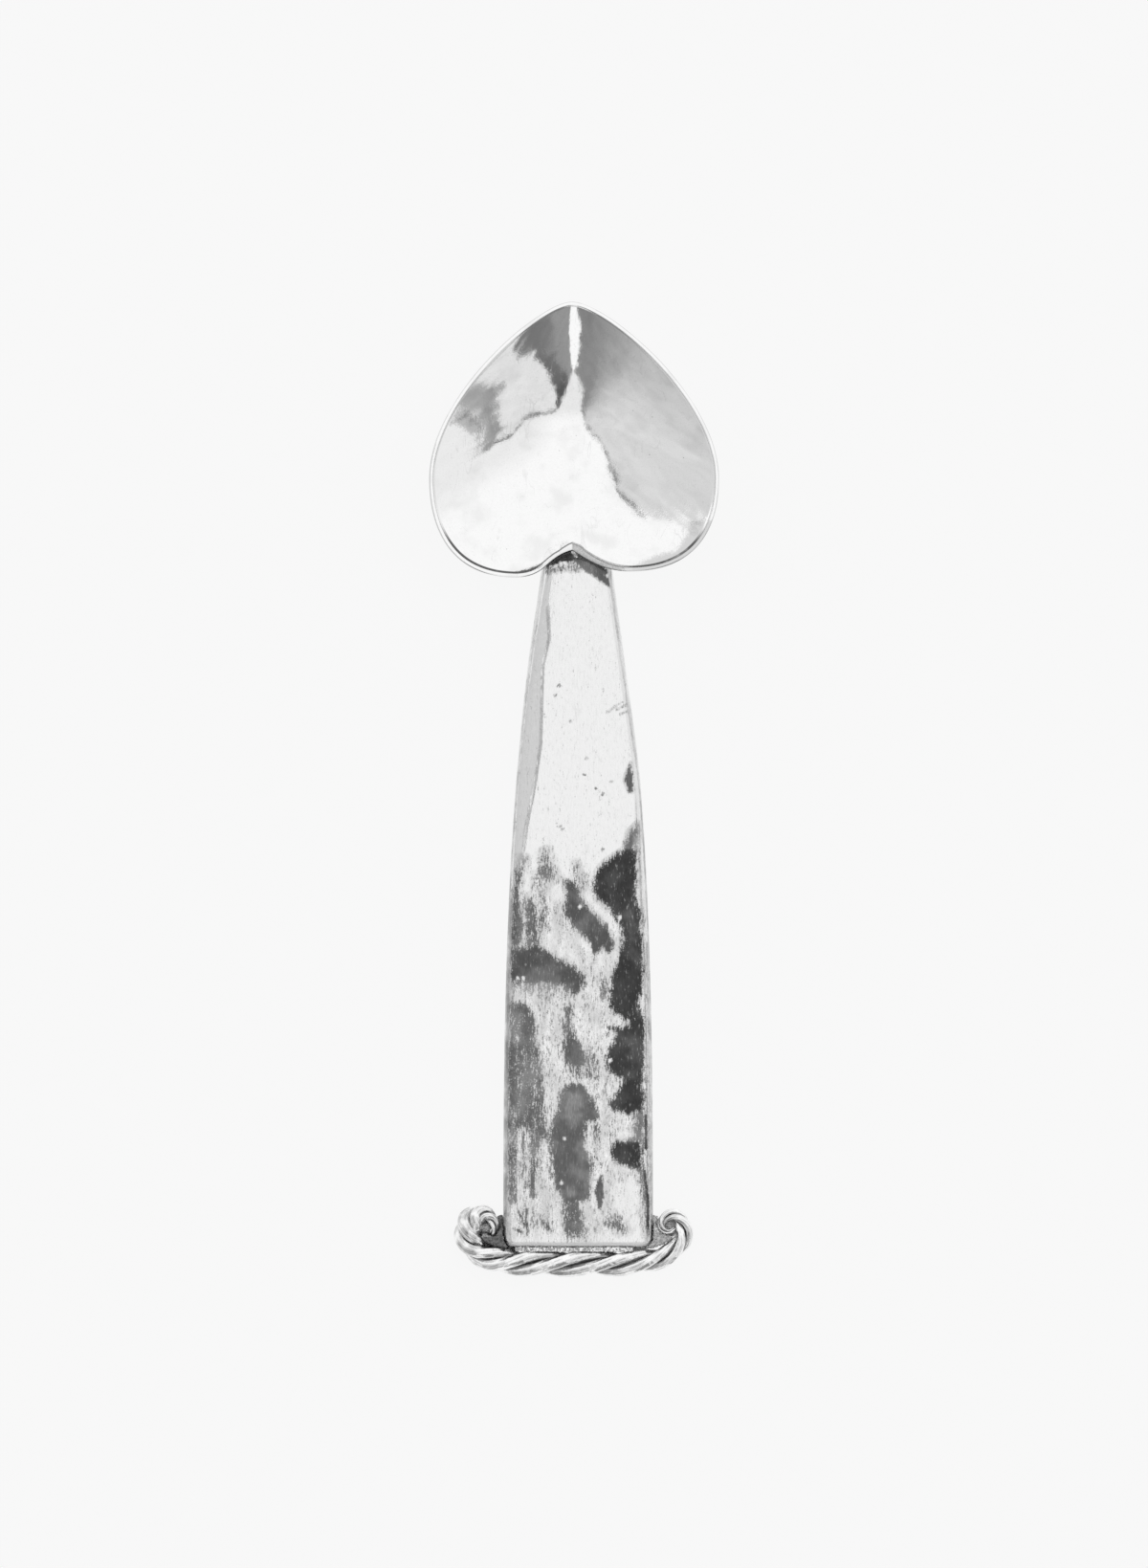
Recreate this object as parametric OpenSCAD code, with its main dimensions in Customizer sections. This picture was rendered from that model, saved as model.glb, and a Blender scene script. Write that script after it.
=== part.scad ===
// Sugar spoon in cast pewter: a heart-shaped bowl, a flat flared handle, and a
// rope of three twisted strands that is scrolled across the end of the handle.
// Sizes are in millimetres. +Y runs from the rope to the tip of the bowl and +Z
// is up. The spoon lies on its bowl and on its rope, and the origin is under the
// middle of it, on the surface that it lies on.

/* [Bowl] */
// Distance from the tip to the notch between the lobes
bowl_length = 33.2; // [26:0.1:42]
// Reach of the left lobe from the bowl's axis
left_lobe_reach = 19.1; // [16:0.1:24]
// Reach of the right lobe from the bowl's axis
right_lobe_reach = 19.6; // [16:0.1:24]
// How far the left lobe hangs past the notch
left_lobe_drop = 3.6; // [2:0.1:5]
// How far the right lobe hangs past the notch
right_lobe_drop = 2.8; // [2:0.1:5]
// Depth of the hollow below the rim
bowl_depth = 6.5; // [5:0.1:9]
// Thickness of the wall under the floor
bowl_wall = 1; // [0.8:0.05:1.6]
// Thickness of the wall at the rim
rim_wall = 0.55; // [0.5:0.05:1]
// Rounding of the rim's two edges
rim_round = 0.2; // [0.1:0.02:0.24]

/* [Handle] */
// Distance from the notch of the bowl to the square end
handle_length = 93; // [70:1:120]
// Width at the square end
handle_width = 20; // [14:0.1:26]
// Width at the notch
neck_width = 8.4; // [6:0.1:12]
// Thickness along the middle line
handle_thickness = 3; // [2.4:0.1:4]
// How much lower the upper face is at the sides than along the middle line
handle_crown = 0.3; // [0:0.05:0.6]
// Rounding of the long upper edges
edge_round = 1.1; // [0.4:0.1:1.5]
// Rounding of the upper edge at the square end
end_round = 0.6; // [0.2:0.1:1.2]
// Rounding of the two corners at the square end, in plan
corner_round = 1.3; // [0.6:0.1:2.5]
// Bevel of the long edges of the back
back_bevel = 0.4; // [0.2:0.05:0.8]
// Sideways shift of the handle from the bowl's axis
handle_shift = 0.8; // [-1.5:0.1:1.5]
// Step from the rim down to the handle's upper face
seat_step = 1.3; // [0.8:0.1:2.5]

/* [Rope] */
// Diameter of the rope across its strands
rope_diameter = 3.7; // [3:0.1:4.6]
// Gap between neighbouring strands
strand_gap = 0.08; // [0.04:0.01:0.2]
// Length of rope that one strand takes to go round once, in the middle
rope_pitch = 21; // [14:0.5:30]
// Sideways shift of the rope's middle from the bowl's axis
rope_shift = 0.5; // [-1.5:0.1:1.5]
// Gap between the handle's end and the rope
rope_gap = 0.4; // [0.3:0.05:0.8]
// Gap between each curl and the handle's side
curl_gap = 0.5; // [0.4:0.05:0.8]
// Rounding of the strands' ends
strand_end_round = 0.5; // [0.2:0.1:1]

/* [Solder] */
// Clearance between a solder joint and the pieces that it joins
solder_gap = 0.1; // [0.05:0.01:0.14]
// Reach of the fillet from the bowl's wall over the handle
fillet_reach = 1.9; // [1:0.1:2.5]
// Height of the seam between the handle's end and the rope
seam_height = 2.3; // [1:0.1:2.6]
// Furthest reach of a web from the middle of its pocket
web_reach = 2.2; // [1:0.1:3]
// Thickness of the webs
web_thickness = 1.8; // [1:0.1:2.4]

/* [Hidden] */

// Half outline of the heart: shares of the lobe's reach across, and of the
// bowl's length along
tip_pull_share = 0.234;
widest_share = 0.29;
shoulder_share = 0.33;
cheek_share = 0.2;
lobe_share = 0.394;
lobe_outer_share = 0.462;
lobe_inner_share = 0.212;
notch_across_share = 0.19;
// Share of the lobe's drop
notch_drop_share = 0.278;
// Deepest point of the bowl, and the round basin that it widens from, as shares
// of the bowl's length
basin_centre_share = 0.48;
basin_share = 0.5;
// Part of the outline that is left at the floor of the hollow
floor_share = 0.06;
// How the wall of the bowl steepens, and how the handle flares
bowl_power = 1.9;
flare_power = 2.85;

// How far each curl turns, how fast it tightens, and how that eases towards its end
left_curl_turn = 296;
right_curl_turn = 400;
left_curl_power = 4.8;
right_curl_power = 4.07;
left_curl_ease = 2.27;
right_curl_ease = 0;
// How much thinner each end is, and how late it thins
left_thin_share = 0.7;
right_thin_share = 0.84;
left_thin_power = 3.5;
right_thin_power = 2.2;
// How much faster the strands twist in each curl
left_twist_share = 0.9;
right_twist_share = 0.6;
strand_count = 3;
first_strand_turn = 40;

// Steps along the curves
outline_steps = [11, 9, 8];
bowl_rings = 9;
edge_steps = 4;
crown_steps = 6;
handle_steps = 26;
curl_steps = 60;
strand_sides = 10;
fillet_steps = 4;
seam_steps = 8;
web_steps = 30;

// Overrun of the cut that leaves the back flat
overrun = 0.2;

rim_height = bowl_depth + bowl_wall;
rope_radius = rope_diameter / 2;
// Three round strands fill the rope's circle with the strand gap between them
strand_ratio = sin(180 / strand_count);
strand_orbit = (rope_radius + strand_gap / 2) / (1 + strand_ratio);
strand_radius = strand_orbit * strand_ratio - strand_gap / 2;

basin_centre = [0, basin_centre_share * bowl_length];
basin_radius = basin_share * bowl_length;
handle_end = -handle_length;
rope_line = handle_end - rope_gap - rope_radius;
// The back of the handle rises from the rope to the bowl
end_back = rope_radius - handle_thickness / 2;
neck_back = rim_height - seat_step - handle_thickness;
back_slope = (neck_back - end_back) / handle_length;

// Point of a cubic curve
function curve(p, t) =
    pow(1 - t, 3) * p[0] + 3 * pow(1 - t, 2) * t * p[1] + 3 * (1 - t) * t * t * p[2] + t * t * t * p[3];

// Half of the heart's outline from its tip to its notch, at positive X
function half_heart(reach, drop) =
    let (
        widest = widest_share * bowl_length,
        tip = [0, bowl_length],
        side = [reach, widest],
        lobe = [lobe_share * reach, -drop],
        curves = [
            [tip, tip + [tip_pull_share * reach, 0], side + [0, shoulder_share * bowl_length], side],
            [side, side - [0, cheek_share * bowl_length], lobe + [lobe_outer_share * reach, 0], lobe],
            [lobe, lobe - [lobe_inner_share * reach, 0],
                [notch_across_share * reach, -notch_drop_share * drop], [0, 0]]
        ]
    )
    concat(
        [for (k = [0:2]) for (i = [0:outline_steps[k] - 1]) curve(curves[k], i / outline_steps[k])],
        [[0, 0]]
    );

left_half = half_heart(left_lobe_reach, left_lobe_drop);
right_half = half_heart(right_lobe_reach, right_lobe_drop);
half_last = len(left_half) - 1;
// Whole outline, anticlockwise from the tip
heart = concat(
    [for (i = [0:half_last]) [-left_half[i].x, left_half[i].y]],
    [for (i = [half_last - 1:-1:1]) right_half[i]]
);
heart_count = len(heart);

function outward(points, i) =
    let (
        n = len(points),
        along = points[(i + 1) % n] - points[(i + n - 1) % n]
    )
    [along.y, -along.x] / norm(along);

function inset(points, d) = [for (i = [0:len(points) - 1]) points[i] - d * outward(points, i)];

// Level line of a bowl surface at share t of the way from its floor to its edge
function level_line(edge, t) =
    [for (p = edge)
        let (
            arm = p - basin_centre,
            reach = norm(arm),
            widened = basin_radius + (reach - basin_radius) * t
        )
        basin_centre + t * widened * arm / reach
    ];

function lifted(points, z) = [for (p = points) [p.x, p.y, z]];

// Surface of the bowl between a floor height and an edge height
function bowl_levels(edge, floor_z, edge_z) =
    let (flat = pow(floor_share, bowl_power))
    [for (k = [0:bowl_rings])
        let (
            t = floor_share + (1 - floor_share) * k / bowl_rings,
            rise = (pow(t, bowl_power) - flat) / (1 - flat)
        )
        lifted(level_line(edge, t), floor_z + (edge_z - floor_z) * rise)
    ];

function reversed(list) = [for (i = [len(list) - 1:-1:0]) list[i]];

// Outer wall of the bowl at height z, as Y against X between the two lobes
function notch_line(z, clear) =
    let (
        flat = pow(floor_share, bowl_power),
        rise = max(z, 0) / (rim_height - rim_round),
        t = pow(flat + (1 - flat) * rise, 1 / bowl_power),
        line = level_line(heart, min(t, 1)),
        first = outline_steps[0] + outline_steps[1],
        last = heart_count - first
    )
    [for (i = [first:last]) line[i] + clear * outward(line, i)];

function half_width(y) =
    let (u = min(max((y - handle_end) / handle_length, 0), 1))
    handle_width / 2 - (handle_width - neck_width) / 2 * pow(u, flare_power);

function round_off(d, r) = d < r ? r - sqrt(r * r - (r - d) * (r - d)) : 0;

// Height of the handle's upper face over its back, x from its middle line
function upper_height(x, half, d) =
    handle_thickness - handle_crown * pow(x / half, 2) - round_off(half - abs(x), edge_round)
        - round_off(d, end_round);

function back_height(y) = end_back + back_slope * (y - handle_end);

// Closed body through equal loops; each loop runs anticlockwise seen from the next
module loft(loops) {
    n = len(loops[0]);
    last = len(loops) - 1;
    points = [for (loop = loops) for (p = loop) p];
    sides = [
        for (k = [0:last - 1]) for (i = [0:n - 1])
            let (a = k * n + i, b = k * n + (i + 1) % n)
            each [[a, a + n, b + n], [a, b + n, b]]
    ];
    caps = [
        for (i = [0:n / 2 - 2])
            let (a = i, b = n - 1 - i, e = last * n)
            each [[a, a + 1, b], [a + 1, b - 1, b], [e + a, e + b, e + a + 1], [e + a + 1, e + b, e + b - 1]]
    ];
    polyhedron(points, concat(sides, caps), convexity = 8);
}

// Moves the spoon from its drawing origin at the notch to the middle of its footprint
module on_table() {
    middle_x = (right_lobe_reach - left_lobe_reach) / 2;
    middle_y = (bowl_length + rope_line - rope_radius) / 2;
    translate([-middle_x, -middle_y, 0]) children();
}

module heart_bowl() {
    edge_z = rim_height - rim_round;
    inner_edge = inset(heart, rim_wall);
    rim = [
        lifted(inset(heart, rim_round), rim_height),
        lifted(inset(heart, rim_wall - rim_round), rim_height)
    ];
    color("lightsteelblue") on_table()
        loft(concat(
            bowl_levels(heart, 0, edge_z),
            rim,
            reversed(bowl_levels(inner_edge, bowl_wall, edge_z))
        ));
}

// Columns across the handle, from its left side to its right side
function columns(half) =
    let (
        flat_half = half - edge_round,
        edge = [for (i = [0:edge_steps]) flat_half + edge_round * cos(90 * i / edge_steps)]
    )
    concat(
        [for (e = edge) -e],
        [for (i = [1:crown_steps - 1]) flat_half * (2 * i / crown_steps - 1)],
        reversed(edge)
    );

// Height of the underside before the back is cut flat
function under_height(x, half) =
    abs(x) > half - back_bevel ? abs(x) - (half - back_bevel) : -overrun;

// Section of the handle at share v of its length; its last section lies against the bowl
function handle_section(v) =
    let (
        y = handle_end + v * handle_length,
        d = y - handle_end,
        half = half_width(y) - round_off(d, corner_round),
        xs = columns(half),
        wall = function (x, z) lookup(x + handle_shift, notch_line(z, solder_gap * 3)),
        seat = function (x, z) wall(x, back_height(wall(x, back_height(0) + z)) + z),
        place = function (x, z)
            let (py = handle_end + v * (seat(x, z) - handle_end))
            [x + handle_shift, py, back_height(py) + z]
    )
    concat(
        [for (x = xs) place(x, upper_height(x, half, d))],
        [for (x = reversed(xs)) place(x, under_height(x, half))]
    );

module handle_blade() {
    round_shares = [for (i = [0:edge_steps]) corner_round / handle_length * (1 - cos(90 * i / edge_steps))];
    first = round_shares[edge_steps];
    along = [for (i = [1:handle_steps]) first + (1 - first) * i / handle_steps];
    slope_angle = atan(back_slope);
    color("silver") on_table()
        difference() {
            loft([for (v = concat(round_shares, along)) handle_section(v)]);
            translate([handle_shift, handle_end, end_back]) rotate([slope_angle, 0, 0])
                translate([-handle_width, -handle_length, -handle_thickness])
                    cube([2 * handle_width, 3 * handle_length, handle_thickness]);
        }
}

// Values of the left or right half of the rope; side is +1 for the right, -1 for the left
function curl_turn(side) = side > 0 ? right_curl_turn : left_curl_turn;
function curl_power(side) = side > 0 ? right_curl_power : left_curl_power;
function curl_ease(side) = side > 0 ? right_curl_ease : left_curl_ease;
function thin_share(side) = side > 0 ? right_thin_share : left_thin_share;
function thin_power(side) = side > 0 ? right_thin_power : left_thin_power;
function twist_share(side) = side > 0 ? right_twist_share : left_twist_share;

// Heading and radius of the rope at share t of the way from its middle to its end
function turn_at(side, t) = curl_turn(side) * pow(t, curl_power(side)) * (1 + curl_ease(side) * (1 - t));
function rope_radius_at(side, t) = rope_radius * (1 - thin_share(side) * pow(t, thin_power(side)));
function unit_heading(side, t) = [cos(turn_at(side, t)), sin(turn_at(side, t))];

// Unit curl: its heading grows with a power of the distance from the middle of
// the rope, so the rope runs almost straight and then winds up
function unit_curl(side) =
    [for (i = 0, p = [0, 0], step = 1 / curl_steps; i <= curl_steps;
        p = p + step * unit_heading(side, (i + 0.5) * step), i = i + 1) p];

// Length of half of the rope, such that its curl clears the handle's side
function half_rope(side) =
    let (
        curl = unit_curl(side),
        turns = [for (i = [0:curl_steps]) [turn_at(side, i / curl_steps), i / curl_steps]],
        turned_back = lookup(270, turns),
        inner = lookup(turned_back, [for (i = [0:curl_steps]) [i / curl_steps, curl[i].x]]),
        reach = handle_width / 2 + side * (handle_shift - rope_shift) + curl_gap
    )
    (reach + rope_radius_at(side, turned_back)) / inner;

right_rope = half_rope(1);
left_rope = half_rope(-1);
right_curl = unit_curl(1);
left_curl = unit_curl(-1);

// Middle line of half of the rope, from the middle outwards, as [x, y]
function half_line(side) =
    let (size = side > 0 ? right_rope : left_rope)
    [for (p = side > 0 ? right_curl : left_curl) [rope_shift + side * size * p.x, rope_line + size * p.y]];

function half_radii(side) = [for (i = [0:curl_steps]) rope_radius_at(side, i / curl_steps)];

// Stations along the whole rope, from the left end to the right end, each with
// its place, heading, size beside the full rope and twist
function station(side, line, i) =
    let (
        t = i / curl_steps,
        size = side > 0 ? right_rope : left_rope,
        turns = size * t / rope_pitch * (1 + twist_share(side) * t * t)
    )
    [line[i], side * turn_at(side, t), rope_radius_at(side, t) / rope_radius, -360 * side * turns];

left_line = half_line(-1);
right_line = half_line(1);
stations = concat(
    [for (i = [curl_steps:-1:1]) station(-1, left_line, i)],
    [for (i = [0:curl_steps]) station(1, right_line, i)]
);

// Ring of a strand: its section stays round in the plane across the rope
function strand_ring(place, k, shrink, back) =
    let (
        across = [-sin(place[1]), cos(place[1]), 0],
        along = [cos(place[1]), sin(place[1]), 0],
        up = [0, 0, 1],
        around = place[3] + first_strand_turn + 360 * k / strand_count,
        orbit = strand_orbit * place[2],
        middle = [place[0].x, place[0].y, rope_radius] + orbit * (cos(around) * across + sin(around) * up)
            + back * along,
        radius = strand_radius * place[2] * shrink
    )
    [for (i = [0:strand_sides - 1])
        let (a = 360 * i / strand_sides)
        middle + radius * (cos(a) * across + sin(a) * up)
    ];

module rope_strand(k) {
    last = len(stations) - 1;
    end_angles = [70, 40];
    left_cap = [for (a = end_angles) strand_ring(stations[0], k, cos(a), -strand_end_round * sin(a))];
    right_cap = [for (a = reversed(end_angles)) strand_ring(stations[last], k, cos(a), strand_end_round * sin(a))];
    color("gainsboro") on_table()
        loft(concat(left_cap, [for (s = stations) strand_ring(s, k, 1, 0)], right_cap));
}

module rope_strand_1() { rope_strand(0); }
module rope_strand_2() { rope_strand(1); }
module rope_strand_3() { rope_strand(2); }

// Fillet that fills the notch between the bowl's wall and the handle's upper face
module bowl_solder() {
    foot_z = back_height(0) + handle_thickness + 2 * solder_gap;
    crest_z = rim_height - rim_round - 2 * solder_gap;
    foot = notch_line(foot_z, solder_gap);
    crest = notch_line(rim_height - rim_round, solder_gap);
    half = half_width(0) - edge_round / 2;
    inside = [for (i = [0:len(foot) - 1]) if (abs(foot[i].x - handle_shift) < half) i];
    upper = function (p)
        back_height(p.y) + upper_height(p.x - handle_shift, half_width(p.y), p.y - handle_end) + solder_gap;
    bottom_share = function (j) j / fillet_steps;
    color("slategray") on_table()
        loft([for (i = inside)
            let (
                away = (crest[i] - foot[i]) / norm(crest[i] - foot[i]),
                toe = crest[i] + (fillet_reach - norm(crest[i] - foot[i])) * away,
                floor_line = [for (j = [0:fillet_steps]) toe + (foot[i] - toe) * bottom_share(j)],
                low = [for (p = floor_line) upper(p)],
                high = [for (j = [0:fillet_steps])
                    let (
                        a = 90 * bottom_share(j),
                        p = toe + (crest[i] - toe) * bottom_share(j)
                    )
                    [p.x, p.y, max(upper(p), upper(toe)) + (crest_z - upper(toe)) * (1 - cos(a)) + solder_gap]
                ]
            )
            concat(
                [for (j = [0:fillet_steps]) [floor_line[j].x, floor_line[j].y, low[j]]],
                reversed(high)
            )
        ]);
}

// Seam between the handle's end and the rope, over the stretch where the rope
// runs straight enough
module rope_solder() {
    room = rope_gap - 2 * solder_gap;
    rise = room / 2;
    half_turn = floor(curl_steps / 2);
    far = function (line)
        lookup(rise, [for (i = [0:half_turn]) [line[i].y - rope_line, line[i].x]]);
    along_rope = function (x, left_values, right_values)
        lookup(x, concat(
            [for (i = [half_turn:-1:1]) [left_line[i].x, left_values[i]]],
            [for (i = [0:half_turn]) [right_line[i].x, right_values[i]]]
        ));
    left_rises = [for (p = left_line) p.y];
    right_rises = [for (p = right_line) p.y];
    left_radii = half_radii(-1);
    right_radii = half_radii(1);
    from = far(left_line);
    to = far(right_line);
    levels = [for (j = [0:seam_steps]) seam_height * (j / seam_steps - 1 / 2)];
    color("slategray") on_table()
        loft([for (i = [0:seam_steps])
            let (
                x = from + (to - from) * i / seam_steps,
                middle = along_rope(x, left_rises, right_rises),
                radius = along_rope(x, left_radii, right_radii) + solder_gap
            )
            concat(
                [for (z = levels) [x, handle_end - solder_gap, rope_radius + z]],
                [for (z = reversed(levels)) [x, middle + sqrt(radius * radius - z * z), rope_radius + z]]
            )
        ]);
}

// Room around a point of a pocket: its distance from the rope and from the handle
function rope_room(p, line, radii) = min([for (i = [0:curl_steps]) norm(p - line[i]) - radii[i]]);
function handle_room(p) =
    let (
        beside = abs(p.x - handle_shift) - (half_width(p.y) - corner_round),
        below = handle_end + corner_round - p.y
    )
    norm([max(beside, 0), max(below, 0)]) + min(max(beside, below), 0) - corner_round;
function room(p, line, radii) = min(rope_room(p, line, radii), handle_room(p));

// Roomiest point on a grid around p
function roomiest(p, size, line, radii) =
    let (
        grid = [for (i = [-4:4]) for (j = [-4:4]) p + size / 4 * [i, j]],
        rooms = [for (q = grid) room(q, line, radii)],
        most = max(rooms)
    )
    [for (i = [0:len(grid) - 1]) if (rooms[i] == most) grid[i]][0];

// Way out from p in a direction until a piece is met
function way_out(p, direction, line, radii, gone = 0, tries = 14) =
    tries == 0 || gone >= web_reach ? min(gone, web_reach)
        : way_out(p, direction, line, radii,
            gone + max(room(p + gone * direction, line, radii) - solder_gap, 0), tries - 1);

// Web in the pocket between a curl and the handle's corner
module solder_web(side) {
    line = side > 0 ? right_line : left_line;
    radii = half_radii(side);
    corner = [handle_shift + side * (handle_width / 2 + curl_gap), handle_end];
    first_guess = corner + rope_radius / 2 * [side, 1 / 2];
    near = roomiest(first_guess, rope_radius / 2, line, radii);
    pocket = roomiest(near, rope_radius / 8, line, radii);
    color("slategray") on_table()
        translate([0, 0, rope_radius - web_thickness / 2])
            linear_extrude(web_thickness)
                polygon([for (i = [0:web_steps - 1])
                    let (
                        a = 360 * i / web_steps,
                        direction = [cos(a), sin(a)]
                    )
                    pocket + way_out(pocket, direction, line, radii) * direction
                ]);
}

module rope_solder_left() { solder_web(-1); }
module rope_solder_right() { solder_web(1); }

// Least gap between a curl's turns, measured between points half a turn or more apart
function least_gap(side, line, radii) =
    min([for (i = [0:curl_steps]) for (j = [i:curl_steps])
        if (turn_at(side, j / curl_steps) - turn_at(side, i / curl_steps) > 180)
            norm(line[i] - line[j]) - radii[i] - radii[j]]);
echo(left_curl_gap = least_gap(-1, left_line, half_radii(-1)));
echo(right_curl_gap = least_gap(1, right_line, half_radii(1)));

heart_bowl();
handle_blade();
rope_strand_1();
rope_strand_2();
rope_strand_3();
bowl_solder();
rope_solder();
rope_solder_left();
rope_solder_right();
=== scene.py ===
# Looks of the pewter sugar spoon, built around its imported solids.
# Lengths are in metres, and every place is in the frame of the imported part.
import math

import bmesh
import bpy
import numpy as np
from mathutils import Matrix, Vector, noise


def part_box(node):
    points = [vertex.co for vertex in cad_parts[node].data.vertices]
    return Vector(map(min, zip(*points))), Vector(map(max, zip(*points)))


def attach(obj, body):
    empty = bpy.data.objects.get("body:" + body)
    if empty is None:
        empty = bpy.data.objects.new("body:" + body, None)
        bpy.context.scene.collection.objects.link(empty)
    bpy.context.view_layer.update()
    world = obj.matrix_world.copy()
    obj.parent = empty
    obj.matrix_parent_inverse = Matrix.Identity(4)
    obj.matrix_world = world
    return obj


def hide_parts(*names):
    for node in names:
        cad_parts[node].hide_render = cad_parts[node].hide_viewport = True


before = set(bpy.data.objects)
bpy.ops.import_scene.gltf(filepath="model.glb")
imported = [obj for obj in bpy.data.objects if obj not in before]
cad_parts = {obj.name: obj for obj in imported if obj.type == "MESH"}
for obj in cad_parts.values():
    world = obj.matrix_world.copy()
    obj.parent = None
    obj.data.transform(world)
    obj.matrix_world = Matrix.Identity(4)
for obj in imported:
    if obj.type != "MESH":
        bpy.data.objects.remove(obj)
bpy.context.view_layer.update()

MM = 0.001

# Sizes of the heart-shaped bowl, as in the part's source
BOWL_LENGTH = 33.2 * MM
LEFT_REACH = 19.1 * MM
RIGHT_REACH = 19.6 * MM
LEFT_DROP = 3.6 * MM
RIGHT_DROP = 2.8 * MM
RIM_HEIGHT = 7.5 * MM
FLOOR_WALL = 1.0 * MM
RIM_WALL = 0.55 * MM
RIM_ROUND = 0.2 * MM
BOWL_POWER = 1.9
FLOOR_SHARE = 0.06
BASIN_CENTRE = 0.48 * BOWL_LENGTH
BASIN_RADIUS = 0.5 * BOWL_LENGTH

# Shares that shape half of the heart's outline
TIP_PULL = 0.234
WIDEST = 0.29
SHOULDER = 0.33
CHEEK = 0.2
LOBE = 0.394
LOBE_OUTER = 0.462
LEFT_ARM = {"lobe_inner": 0.212, "across": 0.19, "drop": 0.278}
RIGHT_ARM = {"lobe_inner": 0.18, "across": 0.105, "drop": 0.46}

# Sizes of the handle
HANDLE_LENGTH = 93.0 * MM
HANDLE_END = -HANDLE_LENGTH
HANDLE_WIDTH = 20.0 * MM
NECK_WIDTH = 8.4 * MM
HANDLE_THICKNESS = 3.0 * MM
HANDLE_CROWN = 0.3 * MM
EDGE_ROUND = 1.1 * MM
END_ROUND = 0.6 * MM
CORNER_ROUND = 1.3 * MM
BACK_BEVEL = 0.4 * MM
HANDLE_SHIFT = 0.8 * MM
SEAT_STEP = 1.3 * MM
SEAT_CLEAR = 0.3 * MM
FLARE_POWER = 2.85

# Sizes of the rope
ROPE_RADIUS = 1.85 * MM
STRAND_GAP = 0.08 * MM
ROPE_PITCH = 21.0 * MM
ROPE_SHIFT = 0.5 * MM
ROPE_LINE = HANDLE_END - 0.4 * MM - ROPE_RADIUS
CURL_GAP = 0.5 * MM
STRAND_END_ROUND = 0.5 * MM
STRAND_COUNT = 3
FIRST_STRAND_TURN = math.radians(40)
LEFT_CURL = {
    "side": -1, "turn": math.radians(296), "power": 4.8, "ease": 2.27,
    "thin": 0.7, "thin_power": 3.5, "faster": 0.9, "swell": 0.28,
}
RIGHT_CURL = {
    "side": 1, "turn": math.radians(400), "power": 4.07, "ease": 0.0,
    "thin": 0.84, "thin_power": 2.2, "faster": 0.6, "swell": 0.04,
}

# The handle's back rises from the rope to the bowl
END_BACK = ROPE_RADIUS - HANDLE_THICKNESS / 2
NECK_BACK = RIM_HEIGHT - SEAT_STEP - HANDLE_THICKNESS
BACK_SLOPE = (NECK_BACK - END_BACK) / HANDLE_LENGTH

# The notch between the lobes is the origin of every drawing below
bowl_low, bowl_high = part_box("heart_bowl")
NOTCH = np.array((bowl_low.x + LEFT_REACH, bowl_high.y - BOWL_LENGTH, 0.0))

# Scale of the photograph, for marks that are placed by its pixels
PIXEL = 0.128 * MM
PHOTO_MIDDLE = (600.0, 825.6)
PHOTO_WIDTH = 1200
PHOTO_HEIGHT = 1639


# Helpers for node trees

FLOAT = "NodeSocketFloat"
WHOLE = "NodeSocketInt"
VECTOR = "NodeSocketVector"
SHAPE = "NodeSocketGeometry"
FINISH = "NodeSocketMaterial"


class Wire:
    """Output of a node, which can be reckoned with like a number."""

    def __init__(self, socket):
        self.socket = socket
        self.id_data = socket.id_data

    def __add__(self, other):
        return calc("ADD", self, other)

    def __sub__(self, other):
        return calc("SUBTRACT", self, other)

    def __rsub__(self, other):
        return calc("SUBTRACT", other, self)

    def __mul__(self, other):
        return calc("MULTIPLY", self, other)

    def __truediv__(self, other):
        return calc("DIVIDE", self, other)

    def __rtruediv__(self, other):
        return calc("DIVIDE", other, self)


def owner(*values):
    """Node tree of the first output among the values."""
    return next(value.id_data for value in values if hasattr(value, "id_data"))


def feed(socket, value):
    """Sets a socket to a value, or joins it to another node's output."""
    if isinstance(value, Wire):
        value = value.socket
    if isinstance(value, bpy.types.NodeSocket):
        socket.id_data.links.new(value, socket)
    else:
        socket.default_value = value


def add_node(tree, kind, inputs=None, **options):
    """Adds a node, sets its options and feeds its named inputs."""
    made = tree.nodes.new(kind)
    for option, value in options.items():
        setattr(made, option, value)
    for label, value in (inputs or {}).items():
        feed(made.inputs[label], value)
    return made


def source(tree, kind, which=0):
    """Output of a node that needs no inputs."""
    return Wire(tree.nodes.new(kind).outputs[which])


def reckon(kind, operation, values):
    """Adds a node that reckons with values, in their order."""
    made = add_node(owner(*values), kind, operation=operation)
    for socket, value in zip(made.inputs, values):
        feed(socket, value)
    return made


def calc(operation, *values):
    return Wire(reckon("ShaderNodeMath", operation, values).outputs[0])


def vector_calc(operation, *values):
    made = reckon("ShaderNodeVectorMath", operation, values)
    wants_number = operation in ("LENGTH", "DISTANCE")
    return Wire(made.outputs["Value" if wants_number else "Vector"])


def vector_times(vector, number):
    made = reckon("ShaderNodeVectorMath", "SCALE", (vector,))
    feed(made.inputs["Scale"], number)
    return Wire(made.outputs["Vector"])


def split(vector):
    made = add_node(owner(vector), "ShaderNodeSeparateXYZ", {"Vector": vector})
    return [Wire(part) for part in made.outputs]


def combine(x, y, z):
    return Wire(add_node(owner(x, y, z), "ShaderNodeCombineXYZ", {"X": x, "Y": y, "Z": z}).outputs[0])


def smooth_step(value, low, high):
    """Goes smoothly from 0 to 1 while the value goes from low to high."""
    made = add_node(owner(value), "ShaderNodeMapRange", interpolation_type="SMOOTHSTEP")
    for socket, number in zip(made.inputs, (value, low, high)):
        feed(socket, number)
    return Wire(made.outputs[0])


def mix(first, second, share):
    """Value between two values, by a share of the second."""
    return calc("MULTIPLY_ADD", second - first, share, first)


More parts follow.
